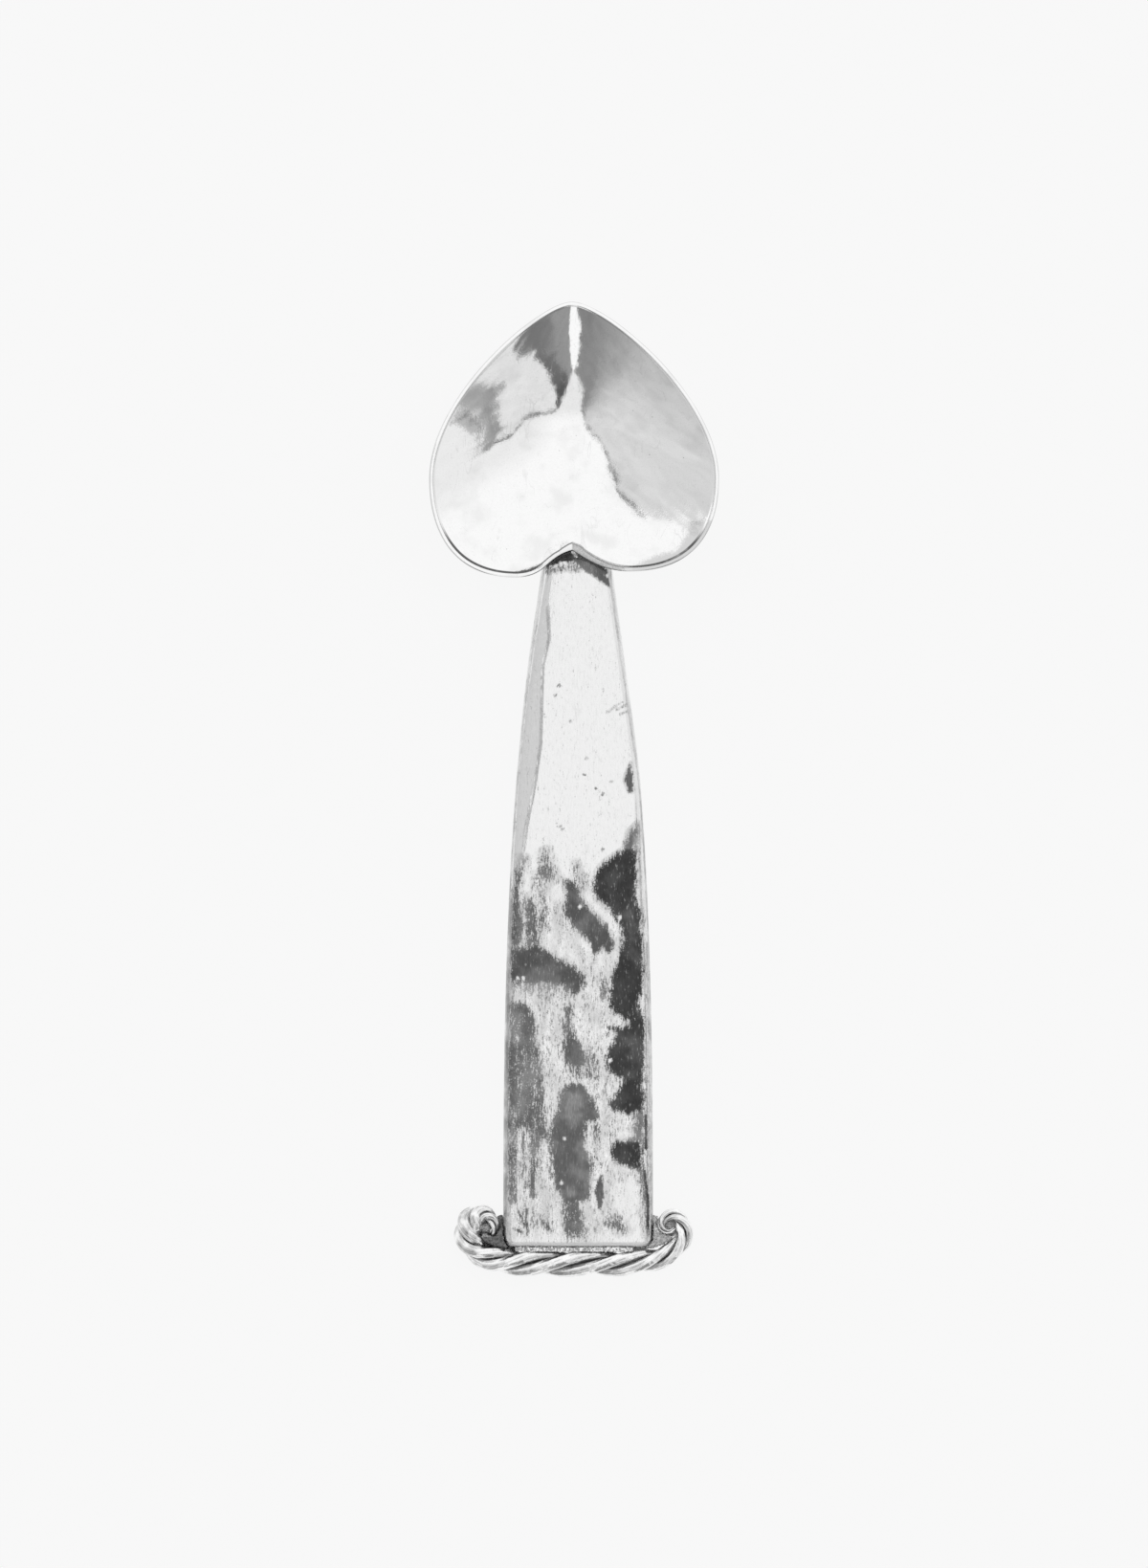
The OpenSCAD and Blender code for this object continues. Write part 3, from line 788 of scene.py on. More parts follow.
def bowl_tree():
    """Shapes a bowl from its outline: level lines widen from a round basin to the rim."""
    tree, inside, out = new_group(
        "heart_bowl_levels", "GeometryNodeTree",
        {"Geometry": SHAPE, "Outline Points": 200, "Rings": 80, "Basin Centre": VECTOR,
            "Basin Radius": 16 * MM, "Rim Height": 9 * MM, "Floor Wall": MM, "Rim Wall": MM,
            "Rim Round": 0.3 * MM, "Rim Share": 0.12, "Notch": VECTOR, "Notch Wall": 0.6 * MM,
            "Notch Reach": 8 * MM, "Notch Peak": 0.3 * MM, "Steepness": 2.4, "Wave Height": 0.03 * MM,
            "Wave Size": 6 * MM, "Seed": 1.0, "Material": FINISH},
        {"Geometry": SHAPE},
    )
    columns = inside["Outline Points"] + 1.0
    grid = add_node(tree, "GeometryNodeMeshGrid", {"Vertices X": columns, "Vertices Y": inside["Rings"]})
    index = source(tree, "GeometryNodeInputIndex")
    column = calc("FLOOR", index / inside["Rings"])
    ring = index - column * inside["Rings"]
    position = source(tree, "GeometryNodeInputPosition")

    def outline_point(step):
        which = calc("FLOORED_MODULO", column + step, inside["Outline Points"])
        found = add_node(tree, "GeometryNodeSampleIndex", data_type="FLOAT_VECTOR", domain="POINT")
        for label, value in (("Geometry", inside["Geometry"]), ("Value", position), ("Index", which)):
            feed(found.inputs[label], value)
        return Wire(found.outputs[0])

    along = vector_calc("SUBTRACT", outline_point(1.0), outline_point(-1.0))
    away = vector_calc("NORMALIZE", vector_calc("CROSS_PRODUCT", along, (0.0, 0.0, 1.0)))

    # Rings run from the floor's underside over the rim to the floor of the hollow
    last_ring = inside["Rings"] - 1.0
    across_wall = ring * 2.0 / last_ring - 1.0
    within = calc("GREATER_THAN", across_wall, 0.0)
    climb = 1.0 - calc("ABSOLUTE", across_wall)
    wall_share = 1.0 - inside["Rim Share"]
    level = calc("MINIMUM", climb / wall_share, 1.0)
    over_rim = (climb - wall_share) / inside["Rim Share"]
    rim_angle = calc("MAXIMUM", over_rim, 0.0) * (math.pi / 2)
    rolled = 1.0 - calc("COSINE", rim_angle)
    roll_in = inside["Rim Round"] * rolled
    to_notch = vector_calc("DISTANCE", outline_point(0.0), inside["Notch"])
    near_notch = smooth_step(to_notch, inside["Notch Reach"], 0.0)
    past_notch = vector_calc("SUBTRACT", outline_point(0.0), inside["Notch"])
    on_right = smooth_step(split(past_notch)[0], *THICKER_SIDE)
    thicker = inside["Notch Wall"] * (near_notch * on_right)
    peak = calc("MAXIMUM", 1.0 - to_notch / PEAK_REACH, 0.0)
    thicker = inside["Notch Peak"] * peak + thicker
    rim_wall = inside["Rim Wall"] + thicker
    inset = mix(roll_in, rim_wall - roll_in, within)
    edge = vector_calc("SUBTRACT", outline_point(0.0), vector_times(away, inset))

    # Each level line lies between a circle around the basin and the outline
    arm = vector_calc("SUBTRACT", edge, inside["Basin Centre"])
    reach = vector_calc("LENGTH", arm)
    widened = mix(inside["Basin Radius"], reach, level)
    share = level * widened / reach
    on_level = vector_calc("ADD", inside["Basin Centre"], vector_times(arm, share))
    rise = calc("POWER", level, inside["Steepness"])
    floor = inside["Floor Wall"] * within
    rim_foot = inside["Rim Height"] - inside["Rim Round"]
    rim_rise = inside["Rim Round"] * calc("SINE", rim_angle)
    height = mix(floor, rim_foot, rise) + rim_rise
    place = vector_calc("ADD", on_level, combine(0.0, 0.0, height))
    to_rim = level + calc("MAXIMUM", over_rim, 0.0)
    past_rim = 4.0 - to_rim
    marked = store(tree, grid.outputs["Mesh"], "to_rim", mix(past_rim, to_rim, within))
    shaped = add_node(tree, "GeometryNodeSetPosition", {"Geometry": marked, "Position": place})
    closed = add_node(tree, "GeometryNodeMergeByDistance", {
        "Geometry": shaped.outputs[0], "Distance": RING_WELD,
    })

    # Slight waves of hand polishing
    lift = noise_lift(tree, inside["Wave Size"], inside["Seed"], inside["Wave Height"], 3.0, 0.42)
    return end_shape(tree, raise_by(tree, closed.outputs[0], lift), inside["Material"], out)


def make_bowl():
    outline = heart_outline((60, 52, 44))
    count = len(outline)
    mesh = bpy.data.meshes.new("heart_outline")
    points = np.column_stack((outline, np.zeros(count))) + NOTCH
    edges = [(i, (i + 1) % count) for i in range(count)]
    mesh.from_pydata(points.tolist(), edges, [])
    bowl = grow(
        "bowl", mesh, bowl_tree(),
        Outline_Points=count, Rings=160, Basin_Centre=(NOTCH + (0.0, BASIN_CENTRE, 0.0)).tolist(),
        Basin_Radius=BASIN_RADIUS, Rim_Height=RIM_HEIGHT, Floor_Wall=FLOOR_WALL, Rim_Wall=RIM_WALL,
        Rim_Round=0.16 * MM, Rim_Share=0.06, Notch=NOTCH.tolist(), Notch_Wall=0.4 * MM,
        Notch_Reach=9.0 * MM, Notch_Peak=0.35 * MM, Steepness=BOWL_POWER, Wave_Height=0.1 * MM,
        Wave_Size=4.5 * MM, Seed=4.0, Material=polished_pewter(),
    )
    # Painted shade along the right lobe's rim and under the rim left of the notch, and a grey spot on the
    # left lobe
    paint(bowl.data, BOWL_GREY_PATCHES, streaks=BOWL_SHADE_LINES)
    hand_over(bowl, "heart_bowl")


# Handle blade

# Width of the bevel along the left edge, in pixels, at rows of the photograph
BEVEL_ROWS = (600, 635, 667, 697, 741, 779, 831, 859, 906, 985, 1100, 1300)
BEVEL_WIDTHS = (4, 9, 14, 10.5, 16.5, 20, 15.5, 12, 9, 7, 5, 4)
BEVEL_SLOPE = 0.2
TOOTH_HEIGHT = 2.2
TOOTH_LENGTH = 5.0

# Painted dark reflections, over slight hollows: tone, cover, width of the soft border, then corners in
# pixels
DARK_REFLECTION_PATCHES = (
    (0.062, 1.1, 6, (
        (666, 864), (659, 871), (656, 880), (654, 887), (645, 893), (633, 901), (625, 910), (621, 921),
        (621, 932), (624, 940), (632, 945), (640, 952), (644, 962), (649, 968), (651, 980), (650, 993),
        (646, 1004), (642, 1014), (639, 1024), (638, 1032), (637, 1042), (638, 1052), (645, 1060),
        (657, 1067), (672, 1067), (669, 1056), (668, 1047), (671, 1032), (673, 1015), (672, 995),
        (670, 978), (668, 970), (671, 962), (669, 950), (665, 945), (664, 935), (665, 920), (666, 905),
        (665, 895), (663, 885), (664, 875), (667, 868))),
    (0.07, 1.1, 6, (
        (657, 1062), (657, 1073), (648, 1074), (638, 1073), (643, 1081), (641, 1089), (636, 1096),
        (634, 1106), (634, 1114), (638, 1121), (646, 1123), (651, 1128), (672, 1130), (673, 1110),
        (674, 1090), (672, 1062))),
    (0.062, 1.1, 6, (
        (652, 1122), (650, 1134), (645, 1143), (639, 1149), (636, 1154), (639, 1159), (646, 1161),
        (655, 1164), (663, 1163), (673, 1166), (673, 1150), (671, 1138), (672, 1122))),
    (0.2, 1.05, 10, (
        (661, 1160), (664, 1172), (662, 1185), (657, 1194), (674, 1196), (675, 1180), (674, 1160))),
    (0.062, 1.1, 6, (
        (657, 1192), (645, 1192), (641, 1197), (639, 1204), (642, 1212), (652, 1218), (662, 1221),
        (669, 1222), (670, 1213), (671, 1200), (671, 1190))),
    (0.2, 0.9, 8, (
        (650, 1215), (662, 1222), (667, 1228), (670, 1240), (671, 1252), (672, 1264), (673, 1276),
        (675, 1292), (679, 1290), (678, 1255), (677, 1236), (673, 1218))),
    (0.14, 0.55, 10, ((601, 903), (606, 904), (612, 915), (611, 927), (604, 930), (599, 916))),
    (0.135, 1.1, 6, (
        (590, 921), (598, 921), (604, 927), (607, 937), (610, 945), (617, 951), (625, 959), (633, 967),
        (638, 976), (641, 985), (641, 993), (634, 995), (630, 991), (624, 996), (620, 994), (618, 986),
        (612, 980), (607, 976), (600, 971), (596, 963), (591, 955), (591, 945), (593, 935))),
    (0.13, 1.1, 7, (
        (534, 991), (546, 991), (560, 986), (568, 992), (578, 999), (588, 1006), (597, 1009), (604, 1014),
        (611, 1020), (612, 1027), (606, 1035), (600, 1041), (595, 1034), (588, 1031), (575, 1029),
        (566, 1028), (558, 1029), (550, 1028), (541, 1027), (534, 1022))),
    (0.135, 1.05, 7, (
        (592, 1050), (597, 1052), (597, 1065), (599, 1076), (603, 1086), (608, 1094), (613, 1103),
        (613, 1112), (608, 1118), (598, 1117), (592, 1112), (588, 1104), (589, 1093), (592, 1085),
        (590, 1070))),
    (0.18, 0.62, 8, (
        (612, 1090), (621, 1096), (628, 1108), (628, 1128), (614, 1134), (606, 1120), (609, 1104))),
    (0.175, 1.1, 6, (
        (600, 1131), (611, 1136), (617, 1145), (622, 1156), (625, 1166), (622, 1173), (614, 1172),
        (612, 1185), (611, 1198), (615, 1206), (618, 1216), (618, 1228), (616, 1240), (616, 1252),
        (611, 1258), (605, 1256), (599, 1260), (590, 1258), (586, 1250), (584, 1244), (581, 1238),
        (578, 1228), (577, 1215), (575, 1200), (575, 1185), (578, 1170), (583, 1160), (585, 1150),
        (585, 1142), (591, 1135))),
    (0.16, 0.52, 8, ((616, 1168), (628, 1166), (630, 1190), (629, 1220), (620, 1218), (618, 1195))),
    (0.135, 1.25, 3, (
        (628, 1227), (631, 1238), (631, 1250), (627, 1266), (624, 1258), (622, 1246), (625, 1234))),
    (0.16, 0.95, 7, (
        (543, 905), (546, 915), (543, 925), (543, 938), (546, 945), (546, 958), (547, 968), (545, 985),
        (536, 990), (534, 980), (536, 960), (538, 935), (540, 915))),
    (0.18, 0.74, 6, (
        (530, 1050), (545, 1048), (553, 1053), (559, 1060), (562, 1072), (562, 1085), (565, 1095),
        (566, 1110), (567, 1125), (570, 1140), (569, 1152), (570, 1165), (574, 1178), (576, 1188),
        (568, 1196), (562, 1206), (559, 1225), (560, 1250), (556, 1256), (553, 1235), (553, 1210),
        (552, 1190), (545, 1180), (541, 1190), (540, 1225), (539, 1258), (532, 1258), (530, 1210),
        (528, 1170), (529, 1150), (529, 1120), (530, 1090))),
    (0.18, 0.66, 8, ((566, 890), (573, 888), (579, 903), (584, 917), (573, 924), (562, 919))),
    (0.16, 0.58, 10, ((560, 914), (571, 920), (571, 945), (568, 977), (560, 977), (559, 950))),
    (0.17, 0.74, 8, ((546, 938), (557, 936), (564, 950), (565, 985), (552, 996), (545, 990), (547, 965))),
    (0.2, 0.37, 12, (
        (533, 1255), (556, 1256), (575, 1262), (584, 1275), (582, 1292), (560, 1290), (540, 1288),
        (533, 1275))),
    (0.2, 0.8, 8, ((642, 1267), (650, 1276), (657, 1288), (648, 1291), (640, 1285), (632, 1279))),
    (0.17, 1.2, 9, ((644, 1080), (668, 1076), (670, 1090), (662, 1099), (646, 1096))),
    (0.27, 1.25, 8, ((586, 1234), (610, 1234), (605, 1252), (590, 1252))),
    (0.19, 0.8, 8, ((587, 1250), (607, 1250), (612, 1278), (617, 1300), (587, 1300), (587, 1275))),
    (0.19, 0.42, 9, ((546, 1196), (566, 1200), (568, 1236), (556, 1246), (540, 1240), (536, 1210))),
    (0.24, 0.8, 20, (
        (540, 1016), (560, 1020), (600, 1024), (600, 1040), (575, 1038), (552, 1037), (542, 1034))),
    (0.15, 1.3, 7, ((646, 951), (662, 944), (668, 960), (666, 985), (655, 986), (651, 968))),
    (0.14, 1.3, 7, ((648, 1115), (668, 1115), (668, 1130), (652, 1130))),
    (0.25, 1.2, 8, ((588, 1022), (606, 1024), (602, 1036), (590, 1034))),
    (0.3, 1.25, 8, ((667, 863), (659, 871), (656, 880), (654, 887), (663, 890), (665, 876))),
    (0.22, 1.3, 7, (
        (593, 1139), (607, 1141), (615, 1151), (619, 1164), (608, 1172), (587, 1170), (589, 1152))),
    (0.18, 0.72, 8, ((595, 1112), (613, 1112), (614, 1127), (601, 1131), (592, 1122))),
    (0.2, 0.56, 8, ((628, 1022), (640, 1024), (640, 1046), (630, 1052), (622, 1046))),
    (0.17, 0.64, 8, ((558, 946), (572, 946), (574, 972), (562, 975))),
    (0.19, 0.56, 7, ((556, 1208), (567, 1210), (567, 1232), (557, 1234))),
    (0.17, 0.88, 7, ((532, 1050), (548, 1045), (556, 1056), (552, 1082), (534, 1084))),
    (0.2, 0.62, 7, ((541, 896), (551, 896), (551, 910), (542, 912))),
    (0.18, 0.82, 7, ((556, 1120), (569, 1122), (571, 1146), (560, 1150))),
    (0.2, 0.44, 9, ((578, 944), (590, 950), (598, 974), (590, 982), (580, 966))),
    (0.17, 1.05, 3, ((659, 797), (660, 802), (662, 828), (657, 827), (652, 815), (655, 806))),
)

# Painted streaks of dark reflection, and painted shade lines along the bevel and the sides: tone, cover,
# half width, start and end in pixels
REFLECTION_SHADE_STREAKS = (
    (0.19, 0.68, 2.6, (538, 1180), (538, 1256)),
    (0.19, 0.7, 3.2, (557, 1185), (556, 1250)),
    (0.19, 0.6, 2.2, (547, 1182), (546, 1216)),
    (0.06, 0.95, 1.6, (675, 1166), (675, 1200)),
    (0.06, 0.9, 1.6, (673, 1222), (677, 1250)),
    (0.06, 0.9, 1.6, (677, 1250), (677, 1290)),
    (0.14, 0.7, 1.6, (550, 1264), (551, 1290)),
    (0.14, 0.7, 1.6, (542, 1266), (549, 1281)),
    (0.14, 0.75, 1.6, (536, 1284), (547, 1288)),
    (0.14, 0.7, 2.5, (568, 1276), (576, 1288)),
    (0.45, 0.62, 0.8, (572, 635), (574, 667)),
    (0.45, 0.6, 0.7, (574, 667), (567, 697)),
    (0.45, 0.6, 0.7, (567, 697), (566, 741)),
    (0.45, 0.6, 0.7, (566, 741), (565, 779)),
    (0.45, 0.6, 0.7, (565, 779), (557, 831)),
    (0.45, 0.6, 0.7, (557, 831), (551, 859)),
    (0.4, 0.6, 0.9, (551, 859), (545, 905)),
    (0.32, 0.82, 0.8, (634, 745), (644, 739)),
    (0.32, 0.85, 0.9, (644, 742), (655, 737)),
    (0.32, 0.78, 0.7, (647, 747), (655, 744)),
    (0.32, 0.72, 0.6, (642, 739), (651, 734)),
    (0.42, 0.8, 2.2, (534, 940), (530, 1050)),
    (0.34, 0.85, 2.6, (530, 1050), (529, 1120)),
    (0.42, 0.85, 2.5, (529, 1120), (527, 1290)),
    (0.35, 0.7, 0.8, (668, 868), (670, 945)),
    (0.35, 0.7, 0.8, (676, 985), (678, 1060)),
    (0.35, 0.7, 0.8, (678, 1060), (680, 1245)),
)

# Bright spots in the painted dark reflections, and single pits on the upper half, in pixels
BRIGHT_PLACES = ((648, 959), (638, 1108), (606, 948), (541, 1022), (547, 1022), (587, 1236), (590, 1190))
PIT_PLACES = (
    (584, 717), (580, 727), (596, 754), (613, 793), (623, 824), (630, 830), (611, 810), (639, 817),
    (586, 864), (630, 888), (588, 867),
)

# Dark solder and painted shadow under the bowl's rim at the neck, and bright grains in them, written in the
# same way
NECK_SOLDER_SHADOWS = (
    (0.16, 1.12, 4, (
        (600, 570), (606, 574), (612, 580), (622, 588), (632, 594), (641, 600), (645, 617), (638, 614),
        (630, 609), (620, 602), (612, 597), (604, 590), (598, 586))),
    (0.09, 1.15, 4, (
        (600, 570), (592, 574), (580, 581), (570, 586), (556, 592), (558, 600), (568, 596), (578, 592),
        (588, 589), (599, 587))),
    (0.18, 0.56, 5, (
        (563, 592), (580, 588), (600, 585), (612, 594), (604, 599), (590, 598), (578, 600), (566, 601))),
)
NECK_GRAINS = (
    (576, 593), (580, 592), (586, 589), (590, 589), (602, 581), (635, 602), (638, 601), (598, 573),
    (599, 577),
)


def round_off(distance, radius):
    """Drop of a rounded edge at a distance from its side."""
    short = np.clip(radius - distance, 0.0, radius)
    return radius - np.sqrt(radius * radius - short * short)


def half_width(y):
    share = np.clip((y - HANDLE_END) / HANDLE_LENGTH, 0.0, 1.0)
    return HANDLE_WIDTH / 2 - (HANDLE_WIDTH - NECK_WIDTH) / 2 * share ** FLARE_POWER


def back_height(y):
    return END_BACK + BACK_SLOPE * (y - HANDLE_END)


NOTCH_STEPS = (24, 30, 40)
NOTCH_HEIGHTS = np.linspace(0.0, 1.2 * HANDLE_THICKNESS, 18)


def notch_lines():
    """Outer wall of the bowl between its lobes, at heights over the handle's back."""
    heart = heart_outline(NOTCH_STEPS)
    first = NOTCH_STEPS[0] + NOTCH_STEPS[1]
    flat = FLOOR_SHARE ** BOWL_POWER
    lines = []
    for height in NOTCH_HEIGHTS:
        rise = (NECK_BACK + height) / (RIM_HEIGHT - RIM_ROUND)
        share = (flat + (1 - flat) * rise) ** (1 / BOWL_POWER)
        line = level_line(heart, min(share, 1.0))
        line = line + SEAT_CLEAR * outward(line)
        lines.append(line[first:len(heart) - first + 1])
    return lines


NOTCH_LINES = notch_lines()


def wall_at(x, height):
    """Y of the bowl's wall at heights over the handle's back, as it is at the notch."""
    found = np.array([np.interp(x, line[:, 0], line[:, 1]) for line in NOTCH_LINES])
    last = len(NOTCH_HEIGHTS) - 1
    place = np.clip(height / NOTCH_HEIGHTS[-1] * last, 0.0, last - 0.001)
    low = place.astype(int)
    share = place - low
    picked = np.arange(x.size)
    return found[low, picked] * (1 - share) + found[low + 1, picked] * share


def seat_against_bowl(x, height):
    """Y of the bowl's wall for points of the handle, whose back goes on rising."""
    return wall_at(x, height + BACK_SLOPE * wall_at(x, height))


EDGE_STEPS = 12
CROWN_STEPS = 88
BACK_STEP = 4
CORNER_STEPS = 10
BLADE_STEPS = 390
NECK_EDGE_ROUND = 0.55 * MM
NECK_EDGE_ROWS = (780, 860)
SHARP_ANGLE = math.radians(40)

# How far the sides are drawn in near the neck, in pixels, at rows of the photograph
DRAWN_ROWS = (600, 650, 690, 730, 760, 790, 830)
DRAWN_RIGHT = (4, 4.8, 4.5, 4, 2.6, 1.2, 0)
DRAWN_LEFT = (1, 1.6, 0.8, 0.5, 0.4, 0.3, 0)

# Hammer marks, and hollows under the painted dark reflections, which fade out towards the sides
HAMMER_HEIGHT = 0.05 * MM
HAMMER_LENGTH = 9.0 * MM
HAMMER_WIDTH = 6.0 * MM
HOLLOW_DEPTH = 0.06 * MM
FADE_WIDTH = 2.0 * MM
TOOTH_SEED = 3.0
HAMMER_SEED = 5.0

# Painted speckle of dark reflection on the lower half and its sparser place, by rows and columns of the
# photograph
SPECKLE_ROWS = (880, 1040)
SPECKLE_COVER = 0.22
SPECKLE_TONE = 0.16
SPARSER_COLUMNS = (632, 646)
SPARSER_ROWS = (1222, 1238)
SPARSER_BY = 0.14

# Painted reflections have softer borders lower down, and fade out at the rope
SOFTER_ROWS = (620, 860)
SOFTER_BY = (1.0, 1.9)
FADE_ROWS = (1284, 1294)
FADE_BY = 0.45

# Painted shade line along the sides, in pixels
SIDE_WIDTH = 1.6
SIDE_TONE_WIDTH = 1.2
SIDE_TONE = 0.5
SIDE_MOST = 0.9
SIDE_ROWS = (820, 900)
SIDE_COVER = (0.55, 1.0)


def blade_columns(half):
    """Places across the handle, close together along its rounded edges."""
    flat = half - EDGE_ROUND
    edge = flat + EDGE_ROUND * np.cos(np.linspace(0.0, math.pi / 2, EDGE_STEPS + 1))
    middle = flat * (2 * np.arange(1, CROWN_STEPS) / CROWN_STEPS - 1)
    return np.concatenate((-edge, middle, edge[::-1]))


def drawn_in(x, half, row):
    """Places across the handle, drawn in near the neck as in the photo."""
    right = np.interp(row, DRAWN_ROWS, DRAWN_RIGHT) * np.clip(x / half, 0.0, 1.0)
    left = np.interp(row, DRAWN_ROWS, DRAWN_LEFT) * np.clip(-x / half, 0.0, 1.0)
    return x + (left - right) * PIXEL


def blade_section(share):
    """Upper and lower points of the handle at a share of its length."""
    y = HANDLE_END + share * HANDLE_LENGTH
    from_end = y - HANDLE_END
    half = half_width(y) - round_off(from_end, CORNER_ROUND)
    x = blade_columns(half)
    row = PHOTO_MIDDLE[1] - (y + NOTCH[1]) / PIXEL
    edge = np.where(x > 0, np.interp(row, NECK_EDGE_ROWS, (NECK_EDGE_ROUND, EDGE_ROUND)), EDGE_ROUND)
    upper = HANDLE_THICKNESS - HANDLE_CROWN * (x / half) ** 2 - round_off(half - np.abs(x), edge)
    upper = upper - round_off(from_end, END_ROUND)
    lower_x = x[::BACK_STEP]
    lower = np.clip(np.abs(lower_x) - (half - BACK_BEVEL), 0.0, BACK_BEVEL)

    def placed(across, height):
        reach = seat_against_bowl(across + HANDLE_SHIFT, height)
        along = HANDLE_END + share * (reach - HANDLE_END)
        return np.column_stack((across + HANDLE_SHIFT, along, back_height(along) + height)) + NOTCH

    return placed(drawn_in(x, half, row), upper), placed(drawn_in(lower_x, half, row), lower)


def ramp(value, start, end):
    """Goes straight from 0 to 1 between two values."""
    return np.clip((value - start) / (end - start), 0.0, 1.0)


def handle_paint(px, py):
    """Cover and tone of the painted dark reflections and shade on the upper face."""
    sparser = ramp(px, *SPARSER_COLUMNS) * ramp(py, *SPARSER_ROWS)
    speckle = ramp(py, *SPECKLE_ROWS) * (SPECKLE_COVER - SPARSER_BY * sparser)
    reflection_shade, tone = painted_cover_at(
        px, py, speckle, SPECKLE_TONE, DARK_REFLECTION_PATCHES + NECK_SOLDER_SHADOWS, REFLECTION_SHADE_STREAKS, PIT_PLACES,
        BRIGHT_PLACES + NECK_GRAINS, spread=np.interp(py, SOFTER_ROWS, SOFTER_BY))
    reflection_shade = reflection_shade * (1.0 - FADE_BY * ramp(py, *FADE_ROWS))
    # Painted shade line along both sides
    from_side = np.minimum(px - px.min(axis=1, keepdims=True), px.max(axis=1, keepdims=True) - px)
    tone[from_side < SIDE_TONE_WIDTH] = SIDE_TONE
    side_shade_line = np.clip(SIDE_WIDTH - from_side, 0.0, SIDE_MOST) * np.interp(py, SIDE_ROWS, SIDE_COVER)
    return np.maximum(reflection_shade, side_shade_line), tone


def work_face(upper, py, reflection_shade):
    """Adds the bevel, the hammer marks and the hollows to the upper face."""
    x, y = upper[..., 0], upper[..., 1]
    from_left = x - x[:, :1]
    from_right = x[:, -1:] - x
    teeth = np.array([noise.noise(Vector((row / TOOTH_LENGTH, TOOTH_SEED, 0.0))) for row in py[:, 0]])
    bevel = (np.interp(py, BEVEL_ROWS, BEVEL_WIDTHS) + TOOTH_HEIGHT * teeth[:, None]) * PIXEL
    flat_face = np.clip(np.minimum(from_left, from_right) / FADE_WIDTH, 0.0, 1.0)
    hammer = np.array([
        noise.noise(Vector((across / HAMMER_WIDTH, along / HAMMER_LENGTH, HAMMER_SEED)))
        for across, along in zip(x.ravel(), y.ravel())
    ]).reshape(x.shape)
    upper[..., 2] += HAMMER_HEIGHT * hammer * flat_face
    upper[..., 2] -= np.clip(bevel - from_left, 0.0, None) * BEVEL_SLOPE * np.clip(from_left / MM, 0.0, 1.0)
    upper[..., 2] -= HOLLOW_DEPTH * np.clip(reflection_shade, 0.0, 1.0) * flat_face


def blade_faces(stations, columns, back_columns):
    """Faces of the upper side, the back, the sides and the two ends."""
    base = stations * columns
    right, right_back = columns - 1, back_columns - 1
    faces = []
    for k in range(stations - 1):
        here, there = k * columns, (k + 1) * columns
        back, ahead = base + k * back_columns, base + (k + 1) * back_columns
        for i in range(right):
            faces.append((here + i, here + i + 1, there + i + 1, there + i))
        for i in range(right_back):
            faces.append((back + i + 1, back + i, ahead + i, ahead + i + 1))
        faces.append((back, here, there, ahead))
        faces.append((here + right, back + right_back, ahead + right_back, there + right))
    for k, turned in ((0, False), (stations - 1, True)):
        top, back = k * columns, base + k * back_columns
        for i in range(right_back):
            edge = [top + j for j in range((i + 1) * BACK_STEP, i * BACK_STEP - 1, -1)]
            face = [back + i, back + i + 1] + edge
            faces.append(face[::-1] if turned else face)
    return faces


def make_handle():
    corner = CORNER_ROUND / HANDLE_LENGTH
    shares = np.concatenate((
        corner * (1 - np.cos(np.linspace(0.0, math.pi / 2, CORNER_STEPS, endpoint=False))),
        np.linspace(corner, 1.0, BLADE_STEPS),
    ))
    upper, lower = (np.array(side) for side in zip(*(blade_section(share) for share in shares)))
    px, py = to_pixels(upper[..., 0], upper[..., 1])
    reflection_shade, tone = handle_paint(px, py)
    work_face(upper, py, reflection_shade)
    mesh = bpy.data.meshes.new("handle")
    points = np.concatenate((upper.reshape(-1, 3), lower.reshape(-1, 3)))
    mesh.from_pydata(points.tolist(), [], blade_faces(*px.shape, lower.shape[1]))
    back = np.zeros(lower.shape[0] * lower.shape[1])
    keep_values(mesh, STAIN_SHADE_LABELS, (np.append(reflection_shade, back), np.append(tone, back)))
    mesh.polygons.foreach_set("use_smooth", [True] * len(mesh.polygons))
    mesh.materials.append(hammered_pewter())
    turn_outward(mesh)
    mesh.set_sharp_from_angle(angle=SHARP_ANGLE)
    hand_over(plain_object("handle", mesh), "handle_blade")


# Rope of twisted strands

ROPE_STEPS = 170
SWELL_TURN = math.radians(115)
SWELL_SPAN = math.radians(62)
CAP_ANGLES = tuple(math.radians(a) for a in (18, 36, 52, 66, 78, 87))
STATION_LABELS = ("rope_size", "rope_twist", "rope_end")


def curl_heading(curl, share):
    """Heading that grows with a power of the way along half of the rope."""
    return curl["turn"] * share ** curl["power"] * (1 + curl["ease"] * (1 - share))


